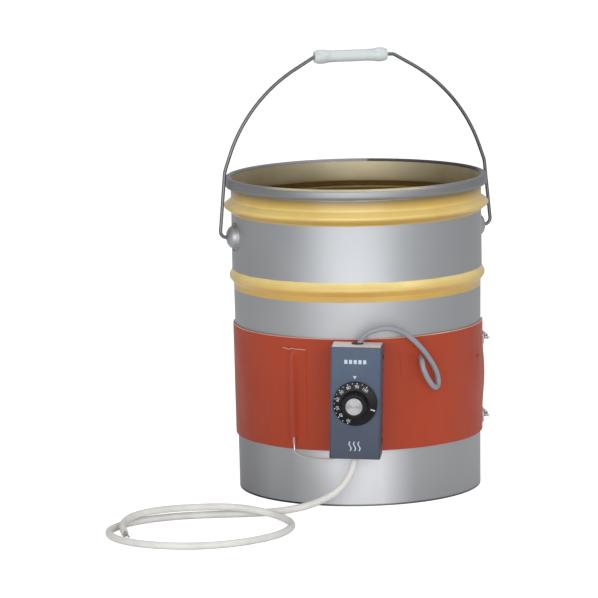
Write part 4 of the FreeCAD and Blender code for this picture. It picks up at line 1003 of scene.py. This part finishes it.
# Lead patch. A second silicone patch over the place where the lead joins the
# heating wire, with a moulded collar round the lead.
patch_turn = math.radians(-61.5)
patch_half = 0.026 / 0.1427 / 2
patch_mesh = sheet_on_band(
    "lead_patch_sheet", 0.146, 0.1695, patch_turn - patch_half, patch_turn + patch_half,
    0.0005, silicone, columns=24, rows=10, sway=0.0002,
)
entry_turn = math.radians(-57.2)
collar_outline = eased(
    [(0.0031, -0.002), (0.0040, -0.002), (0.0038, 0.0010), (0.0031, 0.0010)],
    [0.0003, 0.0004],
)
collar = turned_mesh("collar", collar_outline, [silicone], segments=48)
collar.transform(Matrix.Rotation(math.pi / 2, 4, "Y"))
entry_height = 0.1666
collar.transform(out_at(entry_turn, band_outside(entry_height) + 0.0015, entry_height))
build = bmesh.new()
build.from_mesh(patch_mesh)
build.from_mesh(collar)
build.to_mesh(patch_mesh)
build.free()
bpy.data.meshes.remove(collar)
new_piece("lead_patch_sheet", patch_mesh, "pail", "silicone_rubber", "lead_patch")

# Box pad and box rivets. A silicone saddle fills the gap between the flat back
# of the box and the round band, and two rivets go through all of it.
repaint("box_pad", silicone)
repaint("box_rivets", plated_steel)

# Control box chassis. A folded pan of steel sheet, painted cream, that makes
# the back, the top and the bottom of the box.
cream_paint = mottled_finish(
    "cream paint",
    (90.0, (0.74, 0.64, 0.61), (0.66, 0.56, 0.53), (0.5, 0.8)),
    (600.0, 0.0002, 0.3),
    Roughness=0.42,
)
repaint("box_chassis", cream_paint)

# Control box cover. A strip of steel sheet folded round the front and the two
# sides, in blue-grey enamel with a slight grain, painted darker towards the
# bottom as shade.
grey_enamel, tree, shader = new_finish("blue grey enamel", Roughness=0.40)
enamel = mottled(tree, 35.0, (0.036, 0.064, 0.116), (0.045, 0.075, 0.132), (0.35, 0.7))
height_up = add(tree, "ShaderNodeSeparateXYZ", {"Vector": place(tree)}).outputs[2]
painted_lower_shade = between(tree, height_up, 0.065, 0.165, 1.0, 0.0)
feed(shader, {
    "Base Color": blended(tree, painted_lower_shade, enamel, colour(0.026, 0.037, 0.067)),
    "Roughness": between(tree, cloud(tree, 60.0), 0.3, 0.7, 0.36, 0.48),
    "Normal": bumped(tree, cloud(tree, 1500.0), 0.0001, 0.35),
})
box_place = Matrix.Translation((0.0086, -0.145273, 0.1255)) @ Matrix.Rotation(math.radians(1.6), 4, "Y")
box_half, box_tall, box_depth, box_gauge = 0.0282, 0.1256, 0.0385, 0.0012
cover_line = eased(
    [(-box_half, 0.0), (-box_half, -box_depth), (box_half, -box_depth), (box_half, 0.0)],
    [0.0024, 0.0024],
    8,
)
build = bmesh.new()
strip(build, cover_line, box_gauge, box_tall)
mesh = built_mesh("box_cover_strip", build, grey_enamel, sharp=30, smooth=True)
mesh.transform(box_place)
cover = new_piece("box_cover_strip", mesh, "pail", "grey_paint", "box_cover")
edge_ease = cover.modifiers.new("edge ease", "BEVEL")
edge_ease.width = 0.00025
edge_ease.segments = 2
edge_ease.angle_limit = math.radians(50)

# Cover screws. Four plated pan-head screws with a cross recess, two on each
# side of the box.
build = bmesh.new()
screw_up = 0.0468
for side in (-1, 1):
    for up in (-screw_up, screw_up):
        on_side = box_place @ Matrix.Translation((side * box_half, -0.006, up))
        domed_head(build, on_side, 0.0029, 24, 0.40)
mesh = built_mesh("cover_screw_heads", build, dark_metal, smooth=True)
new_piece("cover_screw_heads", mesh, "pail", "screw_steel", "cover_screws")

# Grommets. Black rubber rings in the holes of the chassis, one for the lead in
# the top and one for the mains cord in the bottom.
black_rubber = mottled_finish(
    "black rubber",
    (200.0, (0.018, 0.018, 0.018), (0.035, 0.034, 0.033)),
    (900.0, 0.0002, 0.3),
    Roughness=0.6,
)
for name, cable, depth, side in (("lead_grommet", 0.003, 0.014, 1), ("cord_grommet", 0.004, 0.0195, -1)):
    neck = cable + 0.00175
    lip = neck + 0.0019
    outline = eased(
        [
            (cable + 0.00015, -0.0015), (cable + 0.00015, 0.0027), (lip, 0.0027), (lip, 0.0012),
            (neck, 0.0012), (neck, 0.0), (lip, 0.0), (lip, -0.0015), (cable + 0.0002, -0.0015),
        ],
        [0.0005, 0.0009, 0.0003, 0.0001, 0.0001, 0.0003, 0.0009],
    )
    ring = turned_mesh(name + "_ring", outline, [black_rubber], segments=48)
    ring.transform(Matrix.Rotation(math.pi if side > 0 else 0.0, 4, "X"))
    ring.transform(box_place @ Matrix.Translation((0.0, -depth, side * box_tall / 2)))
    new_piece(name + "_ring", ring, "pail", "black_rubber", name)

# Box marks. A white pointer above the dial, a plain row of bars near the top
# and three plain heat waves near the foot, printed on the enamel.
white_print = mottled_finish("white print", (900.0, (0.52, 0.58, 0.66), (0.44, 0.50, 0.58)), Roughness=0.5)
build = bmesh.new()
print_face = -box_depth - 0.00004


def printed(build, points):
    """A flat printed shape on the front of the box, from points (across, up)."""
    build.faces.new([build.verts.new((across, print_face, up)) for across, up in points])


printed(build, [(-0.0030, 0.0306), (0.0012, 0.0306), (-0.0009, 0.0268)])
for bar in range(5):
    left = -0.0127 + bar * 0.0052
    printed(build, [(left, 0.0441), (left + 0.0034, 0.0441), (left + 0.0034, 0.0486), (left, 0.0486)])
for wave in range(3):
    points = []
    steps = 14
    for step in range(steps + 1):
        up = -0.0535 + 0.0105 * step / steps
        sway = 0.0012 * math.sin(2 * math.pi * step / steps)
        points.append((-0.0052 + wave * 0.0050 + sway, up))
    for (x1, up1), (x2, up2) in zip(points, points[1:]):
        printed(build, [(x1 - 0.0006, up1), (x1 + 0.0006, up1), (x2 + 0.0006, up2), (x2 - 0.0006, up2)])
bmesh.ops.remove_doubles(build, verts=build.verts, dist=1e-6)
mesh = built_mesh("box_marks", build, white_print)
mesh.transform(box_place)
new_piece("box_marks", mesh, "pail", "grey_paint")

# Dial knob. One black moulding: a skirt that carries the scale, and a fluted
# grip that stands up from its middle.
black_moulding, tree, shader = new_finish("black moulding", Roughness=0.28)
shader.inputs["Specular IOR Level"].default_value = 0.14
feed(shader, {
    "Base Color": mottled(tree, 150.0, (0.006, 0.006, 0.007), (0.012, 0.012, 0.013)),
    "Roughness": between(tree, cloud(tree, 80.0), 0.3, 0.7, 0.26, 0.36),
})
skirt_radius, skirt_root, skirt_top, knob_rise, cap_floor = 0.0245, 0.0152, 0.0063, 0.0216, 0.0208
dial_outline = eased(
    [
        (0.0, 0.0180), (0.0030, 0.0180), (0.0030, 0.0043), (0.0083, 0.0043), (0.0083, 0.0033),
        (0.0229, 0.0033), (0.0229, 0.0007), (skirt_radius, 0.0007), (skirt_radius, 0.0049),
        (skirt_root, skirt_top), (0.0150, 0.0090), (0.0136, knob_rise), (0.0098, knob_rise),
        (0.0098, cap_floor), (0.0, cap_floor),
    ],
    [
        0.0002, 0.0002, 0.0002, 0.0002, 0.0002, 0.0001, 0.0004, 0.0008, 0.0006, 0.0002,
        0.0010, 0.0002, 0.0001,
    ],
    3,
)
dial_mesh = turned_mesh("dial_knob_moulding", dial_outline, [black_moulding], segments=240, sharp=35.0)
for vertex in dial_mesh.vertices:
    radius = math.hypot(vertex.co.x, vertex.co.y)
    if vertex.co.z > 0.0066 and radius > 0.0118:
        turn = math.atan2(vertex.co.y, vertex.co.x)
        groove = max(0.0, math.cos(24 * turn)) ** 2
        depth = min(1.0, (vertex.co.z - 0.0066) / 0.002) * 0.0008 * groove
        shrink = (radius - depth) / radius
        vertex.co.x *= shrink
        vertex.co.y *= shrink
to_front = Matrix.Translation((0.0, -box_depth, 0.0)) @ Matrix.Rotation(math.pi / 2, 4, "X")
dial_mesh.transform(box_place @ to_front)
new_piece("dial_knob_moulding", dial_mesh, "dial", "black_moulding", "dial_knob")

# Dial scale. White numbers and ticks printed on the skirt, and a dash that
# marks the off position.
scale_print = mottled_finish("scale print", (900.0, (0.62, 0.65, 0.70), (0.50, 0.53, 0.58)), Roughness=0.5)
build = bmesh.new()
skirt_slope = math.atan2(skirt_top - 0.0049, skirt_radius - skirt_root)


def skirt_matrix(turn, radius):
    """The place on the skirt at a turn from the top, clockwise, seen from the front."""
    height = skirt_top - (radius - skirt_root) * math.tan(skirt_slope) + 0.00006
    spin = Matrix.Rotation(math.radians(-turn), 4, "Z")
    return spin @ Matrix.Translation((0.0, radius, height)) @ Matrix.Rotation(-skirt_slope, 4, "X")


number_turns = (
    (30, -160), (40, -130), (50, -103.8), (60, -76),
    (70, -49.3), (80, -21.8), (90, 5.5), (100, 34),
)
off_turn = 107.5
for number, turn in number_turns:
    text = bpy.data.curves.new("number", "FONT")
    text.body = str(number)
    text.size = 0.0048
    text.align_x = "CENTER"
    text.align_y = "CENTER"
    holder = shown("number", text)
    bpy.context.view_layer.update()
    letters = bpy.data.meshes.new_from_object(holder.evaluated_get(bpy.context.evaluated_depsgraph_get()))
    letters.transform(skirt_matrix(turn, 0.0196))
    build.from_mesh(letters)
    bpy.data.objects.remove(holder)
    bpy.data.curves.remove(text)
    bpy.data.meshes.remove(letters)


def skirt_bar(build, turn, inner, outer, width):
    where = skirt_matrix(turn, (inner + outer) / 2)
    half = (outer - inner) / 2
    corners = [(-width / 2, -half), (width / 2, -half), (width / 2, half), (-width / 2, half)]
    build.faces.new([build.verts.new(where @ Vector((x, y, 0.0))) for x, y in corners])


turns = [turn for number, turn in number_turns]
for turn, following in zip(turns, turns[1:] + [None]):
    skirt_bar(build, turn, 0.0224, 0.0237, 0.0009)
    if following is not None:
        skirt_bar(build, (turn + following) / 2, 0.0226, 0.0236, 0.0007)
skirt_bar(build, off_turn, 0.0182, 0.0234, 0.0014)
mesh = built_mesh("dial_scale", build, scale_print)
mesh.transform(box_place @ to_front)
new_piece("dial_scale", mesh, "dial", "black_moulding")

# Knob cap. A thin aluminium disc let into the knob, turned with fine rings.
turned_aluminium, tree, shader = new_finish("turned aluminium", Metallic=1.0, Roughness=0.30)
cap_middle = (0.0086, -0.2066, 0.1255)
offset = add(tree, "ShaderNodeVectorMath", {0: place(tree), 1: cap_middle}, operation="SUBTRACT")
spread = add(tree, "ShaderNodeVectorMath", {0: offset.outputs[0]}, operation="LENGTH")
rings = add(tree, "ShaderNodeMath", {0: spread.outputs["Value"], 1: 14000.0}, operation="MULTIPLY")
ring_wave = add(tree, "ShaderNodeMath", {0: rings.outputs[0]}, operation="SINE").outputs[0]
feed(shader, {
    "Base Color": mottled(tree, 200.0, (0.315, 0.315, 0.325), (0.25, 0.25, 0.26)),
    "Normal": bumped(tree, ring_wave, 0.00003, 0.8),
})
cap_outline = eased(
    [(0.0, cap_floor), (0.0097, cap_floor), (0.0097, 0.0222), (0.0091, 0.0228), (0.0, 0.0228)],
    [0.0001, 0.0003, 0.0003],
)
cap_mesh = turned_mesh("knob_cap_disc", cap_outline, [turned_aluminium], segments=96)
cap_mesh.transform(box_place @ to_front)
new_piece("knob_cap_disc", cap_mesh, "dial", "spun_aluminium", "knob_cap")

# Inside the box. The switch with its brass nut and steel spindle, a terminal
# block and a cord clamp, all hidden by the cover.
dark_moulding = mottled_finish(
    "dark moulding", (200.0, (0.02, 0.018, 0.016), (0.05, 0.045, 0.04)), Roughness=0.5,
)
pale_moulding = mottled_finish(
    "pale moulding", (200.0, (0.72, 0.71, 0.67), (0.62, 0.60, 0.56)), Roughness=0.5,
)
brass = mottled_finish(
    "brass", (200.0, (0.76, 0.60, 0.30), (0.62, 0.47, 0.22)), Metallic=1.0, Roughness=0.35,
)
repaint("control_body", dark_moulding)
repaint("bush_nut", brass)
repaint("spindle", plated_steel)
repaint("terminal_block", pale_moulding)
repaint("cord_clamp", dark_moulding)
